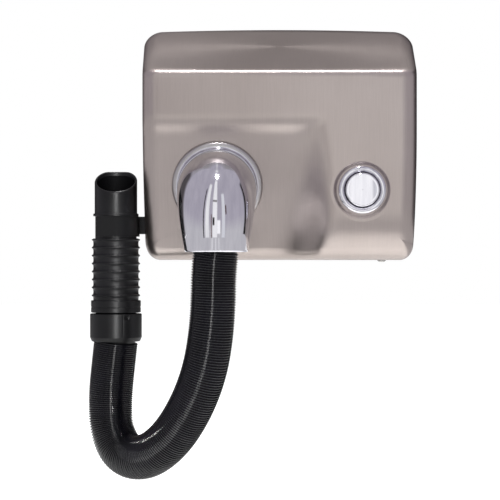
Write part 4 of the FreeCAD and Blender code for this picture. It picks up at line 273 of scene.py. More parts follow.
PLAIN_FINISHES = {
    "cast_plate": ("sand_cast_aluminium", "#9A9B9C", "#B2B3B4", 1.0, (0.45, 0.62), 1.6, 0.12),
    "casing_plastic": ("moulded_polypropylene", "#1F1F21", "#29292B", 0.0, (0.42, 0.56), 1.2, 0.03),
    "fan_plastic": ("moulded_nylon", "#19191B", "#222224", 0.0, (0.36, 0.5), 1.0, 0.02),
    "screw_steel": ("zinc_plated_steel", "#B3B1AC", "#C6C5C1", 1.0, (0.2, 0.34), 0.5, 0.01),
    "turned_steel": ("ground_steel", "#9C9C9F", "#B0B0B2", 1.0, (0.16, 0.28), 0.3, 0.005, (1, 30, 1)),
    "rubber": ("moulded_rubber", "#141414", "#1D1D1D", 0.0, (0.6, 0.78), 0.8, 0.05),
    "laminated_steel": ("stacked_lamination_steel", "#5C5C60", "#77777B", 1.0, (0.35, 0.5), 0.5, 0.08,
                        (60, 1, 60)),
    "copper": ("enamelled_copper_wire", "#A9572F", "#C4733F", 1.0, (0.22, 0.36), 0.6, 0.1),
    "brass": ("turned_brass", "#B9963F", "#CDAE5C", 1.0, (0.18, 0.3), 0.4, 0.01),
    "carbon": ("pressed_carbon", "#1A1A1A", "#262626", 0.0, (0.5, 0.66), 0.4, 0.02),
    "bracket_alloy": ("die_cast_zinc", "#9FA1A3", "#B4B6B8", 1.0, (0.34, 0.48), 1.1, 0.05),
    "duct_steel": ("galvanised_sheet", "#939698", "#AFB2B4", 1.0, (0.26, 0.46), 6.0, 0.01),
    "mica": ("bonded_mica", "#A5906A", "#C0AC84", 0.0, (0.3, 0.5), 3.0, 0.03, (1, 1, 3)),
    "heating_wire": ("drawn_nickel_chrome", "#6E6A66", "#84807B", 1.0, (0.36, 0.5), 0.4, 0.01),
    "ceramic": ("fired_steatite", "#D8D4CA", "#E6E2D9", 0.0, (0.3, 0.42), 1.5, 0.02),
    "board": ("glass_epoxy_board", "#1F4A2E", "#2A5C3A", 0.0, (0.3, 0.42), 0.6, 0.02, (12, 1, 1)),
    "switch_plastic": ("moulded_phenolic", "#1B1B1D", "#252527", 0.0, (0.34, 0.46), 0.8, 0.02),
    "terminal_plastic": ("moulded_nylon_white", "#C9C9C0", "#D7D7CF", 0.0, (0.36, 0.48), 0.9, 0.02),
    "capacitor_can": ("shrunk_sleeve", "#232F52", "#2D3A60", 0.0, (0.26, 0.38), 1.4, 0.02),
    "transformer": ("varnished_core_and_tape", "#55511F", "#6A6529", 0.0, (0.3, 0.5), 1.2, 0.05, (1, 1, 8)),
    "spring_steel": ("drawn_spring_wire", "#82838A", "#999AA0", 1.0, (0.24, 0.36), 0.3, 0.01),
}


def plain_finish(name, dark, light, metalness, roughness, width, height, drawn=(1, 1, 1)):
    """One finish of the table."""
    widths = [width * stretch * MM for stretch in drawn]
    return grained(name, [(widths, 4.0)], (linear(dark), linear(light)), roughness, (0.5, height),
                   {"Metallic": metalness})


# The nozzle's bore is the one finish here that is no slot of the record: it shares the nozzle's. Its darker,
# duller colour is painted shade.
SHOWN_FINISHES = {"brushed_cover": brushed_stainless, "chrome": polished_chrome, "black_plastic": moulded_abs,
                  "nozzle_bore_painted_shade": painted_shade_bore, "hose_plastic": soft_pvc}
made_finishes = {}


def finish(slot):
    """The material of a slot, made once."""
    if slot not in made_finishes:
        if slot in SHOWN_FINISHES:
            made_finishes[slot] = SHOWN_FINISHES[slot](bpy.context.scene)
        else:
            made_finishes[slot] = plain_finish(*PLAIN_FINISHES[slot])
    return made_finishes[slot]


# Surfaces


def new_object(name, data):
    """Puts an object with this data into the scene."""
    made = bpy.data.objects.new(name, data)
    bpy.context.scene.collection.objects.link(made)
    return made


def new_surface(name, points, faces):
    """An object with a smooth mesh."""
    mesh = bpy.data.meshes.new(name)
    mesh.from_pydata(points, [], faces)
    mesh.shade_smooth()
    return new_object(name, mesh)


def points_of(mesh):
    """A mesh's points [point, xyz]."""
    points = np.empty(len(mesh.vertices) * 3, np.float32)
    mesh.vertices.foreach_get("co", points)
    return points.reshape(-1, 3)


def joined(runs):
    """Runs of coordinates one after another, as [coordinate, point]. A number holds for its whole run."""
    return np.concatenate([np.stack(np.broadcast_arrays(*run)) for run in runs], axis=1)


def full_turn(sides):
    """Angles all round."""
    return np.linspace(0, 2 * math.pi, sides, endpoint=False)


def rounded(corners, steps=6):
    """A closed outline in metres from corners of (across, along, radius) in millimetres. A corner with
    a radius gives way to the arc that touches both of its runs: middle + radius * (cos t, sin t)."""
    corners = np.array(corners, float)
    pieces = []
    for here, before, after in zip(corners, np.roll(corners, 1, axis=0), np.roll(corners, -1, axis=0)):
        if here[2] <= 0:
            pieces.append(here[None, :2])
            continue
        back = (before[:2] - here[:2]) / np.linalg.norm(before[:2] - here[:2])
        on = (after[:2] - here[:2]) / np.linalg.norm(after[:2] - here[:2])
        half = math.acos(np.clip(back @ on, -1, 1)) / 2
        middle = here[:2] + (back + on) / np.linalg.norm(back + on) * here[2] / math.sin(half)
        first, last = [here[:2] + way * here[2] / math.tan(half) - middle for way in (back, on)]
        share = np.linspace(0, 1, steps + 1)[:, None]
        arc = first * (1 - share) + last * share
        pieces.append(middle + arc / np.linalg.norm(arc, axis=1)[:, None] * here[2])
    return np.concatenate(pieces) * MM


def skin(name, grid, loop=True):
    """A piece from points [row, column, xyz]. Columns always close up. Rows close up too where loop
    is set, and otherwise each end ring closes on a pole in its middle."""
    rows, columns = grid.shape[:2]
    here = np.arange(rows * columns).reshape(rows, columns)
    right = np.roll(here, -1, axis=1)
    quads = np.stack([here, right, np.roll(right, -1, axis=0), np.roll(here, -1, axis=0)], axis=-1)
    quads = (quads if loop else quads[:-1]).reshape(-1, 4)
    points = grid.reshape(-1, 3)
    faces = quads.tolist()
    if not loop:
        points = np.concatenate([points, [grid[0].mean(0), grid[-1].mean(0)]])
        first_pole, last_pole = [np.full(columns, rows * columns + k) for k in range(2)]
        faces += np.stack([first_pole, right[0], here[0]], axis=-1).tolist()
        faces += np.stack([last_pole, here[-1], right[-1]], axis=-1).tolist()
    a, b, c, d = [points[quads[:, k]] for k in range(4)]
    volume = (np.cross(b - a, c - a) * a).sum() + (np.cross(c - a, d - a) * a).sum()
    if volume < 0:
        faces = [face[::-1] for face in faces]
    return new_surface(name, points.tolist(), faces)


def ring_points(angle, across, other):
    """Unit vectors cos t * across + sin t * other, for rows of other and columns of t."""
    return np.cos(angle)[:, None] * across + np.sin(angle)[:, None] * np.expand_dims(other, -2)


def lathe(name, outline, middle, axis, sides=128, dent=0.0, loop=True):
    """A turned piece: each outline point (r, h) goes to middle + h * axis + (r - dent) * (cos t * u +
    sin t * v), where u and v are square to the axis. A dent holds a depth for each point and angle."""
    axis = np.array(axis, float)
    u = np.cross(axis, UP) if abs(axis[2]) < 0.9 else TOWARDS_RIGHT
    u = u / np.linalg.norm(u)
    around = ring_points(full_turn(sides), u, np.cross(axis, u))
    radius = outline[:, :1] - dent
    return skin(name, np.array(middle) + outline[:, None, 1:] * axis + radius[:, :, None] * around, loop)


def light_by_window(made):
    """Lets the window light a piece: only the black plastics get it."""
    bpy.data.collections["black_plastics"].objects.link(made)


def place_piece(made, body, slot, *replaced):
    """Gives a piece its finish and weighs its normals by area, so that flat faces stay flat beside
    round edges. It rides on a body and stands for its solids."""
    made.data.materials.append(finish(slot))
    if slot == "black_plastic" and body != "housing":
        light_by_window(made)
    weighted = made.modifiers.new("flat_faces", "WEIGHTED_NORMAL")
    weighted.keep_sharp = True
    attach(made, body)
    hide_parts(*replaced)
    return made


def smooth_copy(node, angle=32):
    """A solid's own triangles with their shared corners merged, smooth up to an angle in degrees."""
    source = frame["nodes"][node].data
    source.calc_loop_triangles()
    triangles = np.empty(len(source.loop_triangles) * 3, np.int32)
    source.loop_triangles.foreach_get("vertices", triangles)
    points, where = np.unique(np.round(points_of(source), 6), axis=0, return_inverse=True)
    triangles = where.reshape(-1)[triangles].reshape(-1, 3)
    whole = (np.diff(np.sort(triangles, axis=1), axis=1) > 0).all(axis=1)
    made = new_surface(node + "_form", points.tolist(), triangles[whole].tolist())
    made.data.set_sharp_from_angle(angle=math.radians(angle))
    return made


# The stage, in metres and degrees, with the camera's sensor and lens in millimetres. An azimuth runs
# from the room towards the left.

STAGE_MIDDLE = (-0.03, -0.08, -0.05)
FLOOR_LEVEL = SOLIDS_BOX[0][2] - 0.03
FLOOR_REACH = 6
CAMERA_PLACE = (-0.0292, -1.75, -0.11)
SENSOR_WIDTH, FOCAL_LENGTH = 36.0, 120.0

# A lamp has a name, a place, the point that it faces, its width and height, its watts and whether
# what is glossy shows it.
LAMPS = [
    ("key_lamp", (-0.9, -1.9, 1.2), STAGE_MIDDLE, (0.9, 0.9), 18.0, False),
    ("fill_lamp", (1.5, -1.4, 0.2), STAGE_MIDDLE, (1.0, 1.0), 7.0, False),
    ("spot_lamp", (-0.03, -0.33, 1.12), STAGE_MIDDLE, (0.08, 0.08), 9.0, True),
]
WINDOW = ("window", (-0.09, -0.95, 0.05), (-0.09, 0.0, 0.05), (0.1, 0.9), 6.5, True)

# What the bright metal mirrors is a grey tent with a gap in front. Each part has a name, azimuths,
# elevations, a distance, a colour, a strength and the width of its soft edge.
TENT = [
    ("tent", (-180, 180), (-14, 90), 3.0, "#BDB9C4", 1.0, 0.01),
    ("horizon", (-180, 180), (-24, 12), 2.9, "#D3D2D6", 1.0, 16),
    ("back_top", (115, 245), (36, 78), 2.6, "#A09C9D", 1.0, 10),
    ("left_back", (116, 185), (-14, 42), 2.6, "#565254", 1.0, 8),
    ("right_back", (-185, -97), (-14, 42), 2.6, "#171414", 1.0, 5),
    ("gap_edge", (36.5, 40.5), (-18, 52), 1.0, "#241F21", 1.0, 1.2),
    ("gap_left", (21, 34), (-18, 62), 1.05, "#FFFFFF", 1.05, 2.0),
    ("gap_stripe", (13.5, 16.5), (-18, 18), 1.0, "#6B4C44", 1.0, 1.0),
    ("gap_middle", (-3, 12.5), (-18, 70), 1.05, "#FFFFFF", 1.1, 2.0),
    ("gap_things", (5, 12), (2, 14), 0.95, "#2F2B2D", 1.0, 1.5),
    ("gap_shelf", (-2, 13), (34, 38), 0.95, "#6E6A6C", 1.0, 1.5),
    ("gap_right", (-27, -15), (-18, 48), 1.05, "#F4F6FA", 1.0, 2.5),
    ("gap_tools", (-31, -26), (16, 30), 1.0, "#4C2F2A", 1.0, 1.5),
    ("over_button", (-13.5, 6.5), (-8, 12), 2.1, "#FFFFFF", 1.25, 1.5),
]
# The table doesn't glow round the object. Its glow starts at this radius and is full after this width.
TABLE_SHADE, TABLE_FADE = 0.34, 0.1
GAP_STRIPS = ((-0.27, -0.19), (-0.11, -0.03), (0.05, 0.10))


def panel(name, grid, fade, code, strength=1.0):
    """A glowing surface through points [row, column, xyz], seen by reflections only. Where a point's
    fade is under 1, it lets through what is behind it."""
    rows, columns = grid.shape[:2]
    index = np.arange(rows * columns).reshape(rows, columns)
    faces = np.stack([index[:-1, :-1], index[:-1, 1:], index[1:, 1:], index[1:, :-1]], axis=-1)
    made = new_surface(name, grid.reshape(-1, 3).tolist(), faces.reshape(-1, 4).tolist())
    values = fade.ravel().astype(np.float32)
    made.data.attributes.new("fade", "FLOAT", "POINT").data.foreach_set("value", values)
    material, tree = new_material(name)
    share = add(tree, "ShaderNodeAttribute", attribute_name="fade")
    clear = add(tree, "ShaderNodeBsdfTransparent")
    light = add(tree, "ShaderNodeEmission", {"Color": linear(code), "Strength": strength})
    both = add(tree, "ShaderNodeMixShader", links={0: share.outputs["Fac"], 1: clear, 2: light})
    add(tree, "ShaderNodeOutputMaterial", links={"Surface": both})
    made.data.materials.append(material)
    made.visible_camera = False
    made.visible_diffuse = False
    made.visible_shadow = False


def patch(name, azimuths, elevations, distance, code, strength, soft):
    """A part of a sphere round the object between two azimuths and two elevations. Its fade is the
    product of both ways' distance to the nearer edge over soft, up to 1."""
    across, up = np.meshgrid(np.linspace(*azimuths, 49), np.linspace(*elevations, 25))
    turn, climb = np.radians(across), np.radians(up)
    out = np.stack([-np.sin(turn) * np.cos(climb), -np.cos(turn) * np.cos(climb), np.sin(climb)], axis=-1)
    fade = np.ones(across.shape)
    for value, (low, high) in ((across, azimuths), (up, elevations)):
        fade *= np.clip(np.minimum(value - low, high - value) / soft, 0, 1)
    panel(name, np.array(STAGE_MIDDLE) + distance * out, fade, code, strength)


def level_grid(across, out, height):
    """Points [row, column, xyz] at one height over the floor, from their X and Y."""
    across, out = np.meshgrid(across, out)
    return np.stack([across, out, np.full(across.shape, FLOOR_LEVEL + height)], axis=-1)


def lamp(name, place, target, size, watts, mirrored):
    """A flat lamp of a width and a height that faces a point."""
    light = bpy.data.lights.new(name, "AREA")
    light.shape = "RECTANGLE"
    light.size, light.size_y = size
    light.energy = watts
    made = new_object(name, light)
    made.location = place
    made.rotation_euler = (Vector(target) - Vector(place)).to_track_quat("-Z", "Y").to_euler()
    made.visible_glossy = mirrored
    return made


def shown(tree):
    """1 for rays from the camera and for those that a piece mirrors or lets through, otherwise 0."""
    path = add(tree, "ShaderNodeLightPath").outputs
    seen = add(tree, "ShaderNodeMath", links={0: path["Is Camera Ray"], 1: path["Is Glossy Ray"]},
               operation="MAXIMUM")
    return add(tree, "ShaderNodeMath", links={0: seen, 1: path["Is Transmission Ray"]},
               operation="MAXIMUM")


class DRYER_OT_stage(bpy.types.Operator):
    """Makes the camera, the pale floor, the background, the lamps and the reflecting cards"""
    bl_idname = "dryer.stage"
    bl_label = "Stage"

    def execute(self, context):
        scene = context.scene
        scene.view_settings.view_transform = "Standard"
        self.camera(scene)
        self.background(scene)
        self.floor(scene)
        for settings in LAMPS:
            lamp(*settings)
        self.window()
        self.reflections()
        return {"FINISHED"}

    def camera(self, scene):
        eye = bpy.data.cameras.new("camera")
        eye.sensor_width = SENSOR_WIDTH
        eye.lens = FOCAL_LENGTH
        camera = new_object("camera", eye)
        camera.location = CAMERA_PLACE
        camera.rotation_euler = (math.pi / 2, 0.0, 0.0)
        scene.camera = camera

    def window(self):
        """A tall narrow window straight in front, for the sheen of the black plastics alone."""
        made = lamp(*WINDOW)
        made.visible_camera = False
        made.light_linking.receiver_collection = bpy.data.collections.new("black_plastics")

    def reflections(self):
        """The tent's parts, the table that glows from a ring round the object outwards, and light
        strips in front on the table."""
        for part in TENT:
            patch(*part)
        table = level_grid(np.linspace(-3.0, 3.0, 121), np.linspace(1.0, -4.0, 101), 0.005)
        away = np.hypot(table[..., 0], table[..., 1] + 0.1)
        panel("table", table, np.clip((away - TABLE_SHADE) / TABLE_FADE, 0, 1), "#D3D2D6")
        for k, (left, right) in enumerate(GAP_STRIPS):
            strip = level_grid(np.linspace(left, right, 5), np.linspace(-0.4, -1.0, 2), 0.006)
            panel("gap_floor_%d" % k, strip, np.array([[0, 1, 1, 1, 0]] * 2), "#F2F2F4")

    def background(self, scene):
        """White where it shows, and a plain level where it lights."""
        scene.world = bpy.data.worlds.new("studio")
        scene.world.use_nodes = True
        tree = scene.world.node_tree
        tree.nodes.clear()
        soft = add(tree, "ShaderNodeBackground", {"Color": WHITE, "Strength": 0.55})
        white = add(tree, "ShaderNodeBackground", {"Color": WHITE, "Strength": 1.0})
        mixed = add(tree, "ShaderNodeMixShader", links={0: shown(tree), 1: soft, 2: white})
        add(tree, "ShaderNodeOutputWorld", links={"Surface": mixed})

    def floor(self, scene):
        """A pale matt floor, lifted to white where it shows."""
        corners = [(x * FLOOR_REACH, y * FLOOR_REACH, FLOOR_LEVEL)
                   for x, y in ((-1, -1), (1, -1), (1, 1), (-1, 1))]
        floor = new_surface("floor", corners, [(0, 1, 2, 3)])
        material, tree = new_material("pale_floor")
        lift = add(tree, "ShaderNodeMath", {1: 0.6}, {0: shown(tree)}, operation="MULTIPLY")
        matt = add(tree, "ShaderNodeBsdfDiffuse", {"Color": scene.dryer_colours.floor})
        glow = add(tree, "ShaderNodeEmission", {"Color": WHITE}, {"Strength": lift})
        both = add(tree, "ShaderNodeAddShader", links={0: matt, 1: glow})
        add(tree, "ShaderNodeOutputMaterial", links={"Surface": both})
        floor.data.materials.append(material)


# The hose. It hangs in one upright plane from the handle's axis to the elbow's lip. Its control
# points are distances along that plane and heights.

HANDLE = np.array((-163.2, -84.0, 0.0))
PLANE = np.array((101.7, -74.0, 0.0)) / math.hypot(101.7, 74.0)
HOSE_ROUTE = [
    (0.0, -201.0), (-3.5, -225.1), (-7.7, -257.5), (-6.1, -291.7), (10.2, -314.6), (39.6, -315.5),
    (70.4, -295.1), (95.3, -262.8), (111.8, -227.7), (119.4, -193.0), (122.3, -159.8), (122.8, -131.0),
    (125.4, -111.0),
]
FREE_LENGTH = 268.0
HOSE_WALL = 3.0
# Rings of the outside for each rib, and for each ring of the bore
RIB_ROWS, BORE_STEP = 8, 12


def hose_line():
    """Points along the route's NURBS spline, from the cuff to the elbow."""
    curve = bpy.data.curves.new("hose_route", "CURVE")
    curve.dimensions = "3D"
    spline = curve.splines.new("NURBS")
    spline.points.add(len(HOSE_ROUTE) - 1)
    for point, (along, height) in zip(spline.points, HOSE_ROUTE):
        point.co = (*((HANDLE + PLANE * along + UP * height) * MM), 1.0)
    spline.order_u = 3
    spline.use_endpoint_u = True
    spline.resolution_u = 64
    holder = new_object("hose_route", curve)
    mesh = bpy.data.meshes.new_from_object(holder)
    line = points_of(mesh).astype(float)
    bpy.data.objects.remove(holder)
    bpy.data.meshes.remove(mesh)
    return line


def ribbed_tube(name, line, walked, start, end, sizes):
    """The hose between two distances. Its outside is root + rib * (0.5 - 0.5 cos 2 pi n) ** 0.6, where
    n counts ribs whose spacing grows evenly with the distance. Its bore is plain."""
    whole = walked[-1]
    slack, taut = sizes.pitch_under_cuff, sizes.pitch_under_elbow
    distance = np.linspace(start, end, int(round((end - start) / slack * RIB_ROWS)))
    ribs = whole / (taut - slack) * np.log1p((taut - slack) * distance / (whole * slack))
    swell = (0.5 - 0.5 * np.cos(2 * math.pi * ribs)) ** 0.6
    outside = sizes.hose_radius - sizes.rib_height * (1 - swell)
    bore = distance[::-1][::BORE_STEP]
    bore = np.append(bore, start) if bore[-1] > start else bore
    along = np.concatenate([distance, bore])
    radius = np.concatenate([outside, np.full(len(bore), sizes.hose_radius - HOSE_WALL * MM)])
    middle, heading = [np.stack([np.interp(along, walked, values[:, k]) for k in range(3)], axis=-1)
                       for values in (line, np.gradient(line, walked, axis=0))]
    heading /= np.linalg.norm(heading, axis=1)[:, None]
    level = np.cross(PLANE, UP)
    around = ring_points(full_turn(sizes.hose_sides), level, np.cross(heading, level))
    return skin(name, middle[:, None, :] + radius[:, None, None] * around)


class DRYER_OT_hose(bpy.types.Operator):
    """Makes the ribbed stretch hose in two pieces: the length up to the elbow, and the end in the cuff"""
    bl_idname = "dryer.hose"
    bl_label = "Stretch hose"

    def execute(self, context):
        sizes = context.scene.dryer_sizes
        line = hose_line()
        walked = np.concatenate([[0.0], np.cumsum(np.linalg.norm(np.diff(line, axis=0), axis=1))])
        last = len(line) - 1
        split = int(np.searchsorted(walked, walked[last] - FREE_LENGTH * MM))
        for name, first, end, body, fixed in (("hose_cuff_end", 0, split, "cuff", 0),
                                              ("hose_length", split, last, "elbow", last)):
            made = ribbed_tube(name, line, walked, walked[first], walked[end], sizes)
            made.data.materials.append(finish("hose_plastic"))
            light_by_window(made)
            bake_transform(made)
            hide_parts("hose")
        return {"FINISHED"}


# The outlet elbow. It stands on the bay's floor, which leans back, and bends down to its lip. The
# taper is its outside radius after each walk along its middle line.

OUTLET = np.array((-61.5, -102.362, -46.7))
TILT = math.radians(14.0)
OUT = np.array((0.0, -math.cos(TILT), -math.sin(TILT)))
BAY_UP = np.array((0.0, -math.sin(TILT), math.cos(TILT)))
BEND_START, BEND_RADIUS = 19.839, 48.0
BEND_TURN = math.pi / 2 - TILT
ELBOW_END = BEND_START + BEND_RADIUS * BEND_TURN + 13.93
ELBOW_SIDES, ELBOW_WALL, LIP_ROUND = 160, 2.7, 1.35
BASE_RADIUS, BASE_EDGE, SOCKET_RADIUS = 45.0, 0.8, 34.3
TAPER_WALK = (2.3, 19.84, 35.76, 51.68, 67.59, 83.51, 97.44)
TAPER_RADIUS = (39.0, 38.9, 38.4, 37.3, 35.2, 32.8, 30.3)


def elbow_rows(walk, radius):
    """Rings of each radius after each walk along the elbow's middle line: straight out from the bay,
    round the bend, and straight down."""
    angle = np.clip((walk - BEND_START) / BEND_RADIUS, 0, BEND_TURN)[:, None]
    before = np.minimum(walk - BEND_START, 0)[:, None]
    after = np.maximum(walk - BEND_START - BEND_RADIUS * BEND_TURN, 0)[:, None]
    pivot = OUTLET + OUT * BEND_START - BAY_UP * BEND_RADIUS
    outwards = OUT * np.sin(angle) + BAY_UP * np.cos(angle)
    heading = OUT * np.cos(angle) - BAY_UP * np.sin(angle)
    middle = pivot + outwards * BEND_RADIUS + OUT * before - UP * after
    around = ring_points(full_turn(ELBOW_SIDES), TOWARDS_RIGHT, np.cross(heading, TOWARDS_RIGHT))
    return (middle[:, None, :] + radius[:, None, None] * around) * MM


class DRYER_OT_elbow(bpy.types.Operator):
    """Makes the chrome outlet elbow with its round base and rolled lip"""
    bl_idname = "dryer.elbow"
    bl_label = "Outlet elbow"

    def execute(self, context):
        quarter = np.linspace(0, math.pi / 2, 13)[1:]
        half = np.linspace(0, math.pi, 13)[1:-1]
        body = np.linspace(8.2, ELBOW_END - LIP_ROUND, 90)
        bore = body[::-3]
        taper = np.polyfit(TAPER_WALK, TAPER_RADIUS, 4)
        lip = np.polyval(taper, ELBOW_END) - LIP_ROUND
        base = (0.3, 0.3, BASE_EDGE), (SOCKET_RADIUS, BASE_RADIUS, BASE_RADIUS)
        socket = (9.6, 9.6, 5.0), (36.2, SOCKET_RADIUS, SOCKET_RADIUS)
        rings = [base,
                 (BASE_EDGE + 4.6 * np.sin(quarter), BASE_RADIUS - 4.0 * (1 - np.cos(quarter))),
                 (5.4 + 2.3 * (1 - np.cos(quarter)), 40.9 - 1.95 * np.sin(quarter)),
                 (body, np.polyval(taper, body)),
                 (ELBOW_END - LIP_ROUND + LIP_ROUND * np.sin(half), lip + LIP_ROUND * np.cos(half)),
                 (bore, np.polyval(taper, bore) - ELBOW_WALL),
                 socket]
        walk, radius = joined(rings)
        made = skin("outlet_elbow_form", elbow_rows(walk, radius))
        satin = np.zeros((len(radius), ELBOW_SIDES), np.float32)
        satin[:len(base[0]) + len(quarter)] = 1.0
        made.data.attributes.new("satin", "FLOAT", "POINT").data.foreach_set("value", satin.ravel())
        place_piece(made, "elbow", "chrome", "outlet_elbow")
        return {"FINISHED"}


# The start button. An outline's points are a radius, a depth and, where there is one, the radius of
# the corner.

BUTTON_X, BUTTON_Z = 80.3, -51.3
BUTTON_MIDDLE = (BUTTON_X * MM, 0.0, BUTTON_Z * MM)
BEZEL_RADIUS, BEZEL_ROUND, BEZEL_NECK, BEZEL_BORE = 23.5, 3.15, 19.5, 17.1
BEZEL_BACK, FLANGE_BACK, BEZEL_FRONT = 99.8, 119.8, 128.8
CAP_RADIUS, CAP_BORE, CAP_BACK, CAP_FRONT, CAP_ROUND = 16.6, 14.6, 117.8, 131.3, 1.5
HOLLOW_FRONT, BOSS_BACK, DOME_FRONT, DOME_DROP = 129.8, 124.8, 131.8, 0.45


class DRYER_OT_button(bpy.types.Operator):
    """Makes the chrome bezel and the slightly domed cap of the start button"""
    bl_idname = "dryer.button"
    bl_label = "Start button"

    def execute(self, context):
        bezel = rounded([(3.3, BEZEL_BACK, 0), (BEZEL_NECK, BEZEL_BACK, 0.4), (BEZEL_NECK, FLANGE_BACK, 0),
                         (BEZEL_RADIUS, FLANGE_BACK, 0.3), (BEZEL_RADIUS, BEZEL_FRONT, BEZEL_ROUND),
                         (BEZEL_BORE, BEZEL_FRONT, BEZEL_ROUND), (BEZEL_BORE, BEZEL_BACK + 2.5, 0),
                         (3.3, BEZEL_BACK + 2.5, 0)], 14)
        rim = rounded([(3.0, BOSS_BACK, 0), (5.0, BOSS_BACK, 0), (5.0, HOLLOW_FRONT, 0),
                       (CAP_BORE, HOLLOW_FRONT, 0), (CAP_BORE, CAP_BACK, 0), (CAP_RADIUS, CAP_BACK, 0),
                       (CAP_RADIUS, CAP_FRONT, CAP_ROUND), (14.0, 131.35, 0)], 10)
        across = np.linspace(13.5, 0.02, 24)
        dome = np.stack([across, DOME_FRONT - DOME_DROP * (across / 14.0) ** 2], axis=-1) * MM
        hollow = np.array([(0.02, HOLLOW_FRONT), (3.0, HOLLOW_FRONT)]) * MM
        for name, outline, body in (("button_bezel", bezel, "housing"),
                                    ("button_cap", np.concatenate([rim, dome, hollow]), "button")):
            place_piece(lathe(name + "_form", outline, BUTTON_MIDDLE, TOWARDS_ROOM), body, "chrome", name)
        return {"FINISHED"}


# The pressed cover. Its front is a depth over X and Z; an outline with round corners carries its
# sides, and a roll joins the two.

HALF_WIDTH, HALF_HEIGHT, FRONT, SHEET = 139.0, 120.0, 122.0, 1.9
CROWN, CORNER = 2.5, 20.0
DRAFT = math.tan(math.radians(2.0))
SIDE_ROLL, TOP_ROLL, BOTTOM_ROLL = 15.0, 5.0, 12.0
# The slope on top has its first depth 2 mm over the upper edge. The chin leaves the front at a height.
SLOPE, SLOPE_START = 1 / math.tan(math.radians(26.5)), 9
CHIN_START, CHIN_LEAN = -89.0, 0.5
# The bay's floor has this depth at this height, where its step comes out. Its right wall comes out at
# 45 degrees and, carried on, would have no depth left at this X.
BAY_DEPTH, BAY_TOP, BAY_RIGHT = 116, 8, -80.0
STEP_LEAN, WALL_LEAN = 0.9, 0.075
# How far from the edge between two faces its rounding starts, as a difference of their depths
FOLD_SOFT, CHIN_SOFT, WALL_SOFT, STEP_SOFT, BAY_SOFT = 13.0, 14.0, 34.0, 8.0, 12.0
NARROWING, NARROW_BELOW, NARROW_HEIGHT = 3.6, 10, 115
# The middle that the front's rings shrink onto, and the rings on the side, the roll and the front
POLE_X, POLE_Z = 30, -25
OUTSIDE_ROWS, INSIDE_ROWS = (7, 12, 146), (2, 5, 31)

DISH_EDGE, DISH_DEPTH, DISH_BORE = 31.0, 2.2, 19.8
OUTLET_HOLE = 35.0
SLOTS, SLOT_PITCH, SLOT_WIDTH, FIRST_SLOT = 12, 9.0, 3.0, -20.0
SLOT_DEPTHS = (24.0, 58.0)
LOCK_SCREWS_X, LOCK_SCREWS_DEPTH, LOCK_HOLE = (-68.0, 108.0), 11.0, 2.8
CLIP_SCREWS_DEPTHS, CLIP_SCREWS_Z, CLIP_HOLE = (65.0, 75.0), -85.3, 1.9


def soft_min(a, b, width):
    """min(a, b) - h ** 3 * width / 6, where h = max(width - |a - b|, 0) / width."""
    near = np.maximum(width - np.abs(a - b), 0) / width
    return np.minimum(a, b) - near ** 3 * width / 6


def soft_max(a, b, width):
    """The larger of the two, rounded in the same way."""
    return -soft_min(-a, -b, width)


def front_depth(x, z):
    """The front: flat, with a slope on top behind a round fold, a chin that turns under, and the bay,
    whose floor leans back while its right wall and its top step lead softly up to the front."""
    top = SLOPE_START + (HALF_HEIGHT + 2 - z) * SLOPE
    chin = FRONT + (z - CHIN_START) * CHIN_LEAN
    face = soft_min(soft_min(FRONT, top, FOLD_SOFT), chin, CHIN_SOFT)
    floor = BAY_DEPTH + (z - BAY_TOP) * math.tan(TILT)
    wall = x - BAY_RIGHT + np.clip(z - BAY_TOP, None, 0) * WALL_LEAN
    step = BAY_DEPTH + (z - BAY_TOP + 1) * STEP_LEAN
    return soft_min(face, soft_max(soft_max(floor, wall, WALL_SOFT), step, STEP_SOFT), BAY_SOFT)


def cover_outline():
    """Points round the outline at the wall and their inward directions: a crowned top, straight sides
    and a flat underside, with a round corner between each pair."""
    right, top, bottom = HALF_WIDTH - CORNER, HALF_HEIGHT - CROWN - CORNER, CORNER - HALF_HEIGHT
    across = np.linspace(-right, right, 90)
    down = np.linspace(top, bottom, 76)

    def corner(x, z, start):
        turn = np.linspace(start, start - math.pi / 2, 26)[1:]
        return x + CORNER * np.cos(turn), z + CORNER * np.sin(turn)

    runs = [(across, HALF_HEIGHT - CROWN * (across / right) ** 2),
            corner(right, top, math.pi / 2),
            (HALF_WIDTH, down[1:]),
            corner(right, bottom, 0),
            (across[-2::-1], -HALF_HEIGHT),
            corner(-right, bottom, -math.pi / 2),
            (-HALF_WIDTH, down[-2::-1]),
            corner(-right, top, math.pi)]
    spots = joined(runs)[:, :-1]
    along = np.roll(spots, -1, axis=1) - np.roll(spots, 1, axis=1)
    along /= np.linalg.norm(along, axis=0)
    return spots[0], spots[1], along[1], -along[0]


def narrowing(depth, z):
    """How much further in the lower part of a side lies, towards the front."""
    return NARROWING * depth / FRONT * np.clip((NARROW_BELOW - z) / NARROW_HEIGHT, 0, 1) ** 2


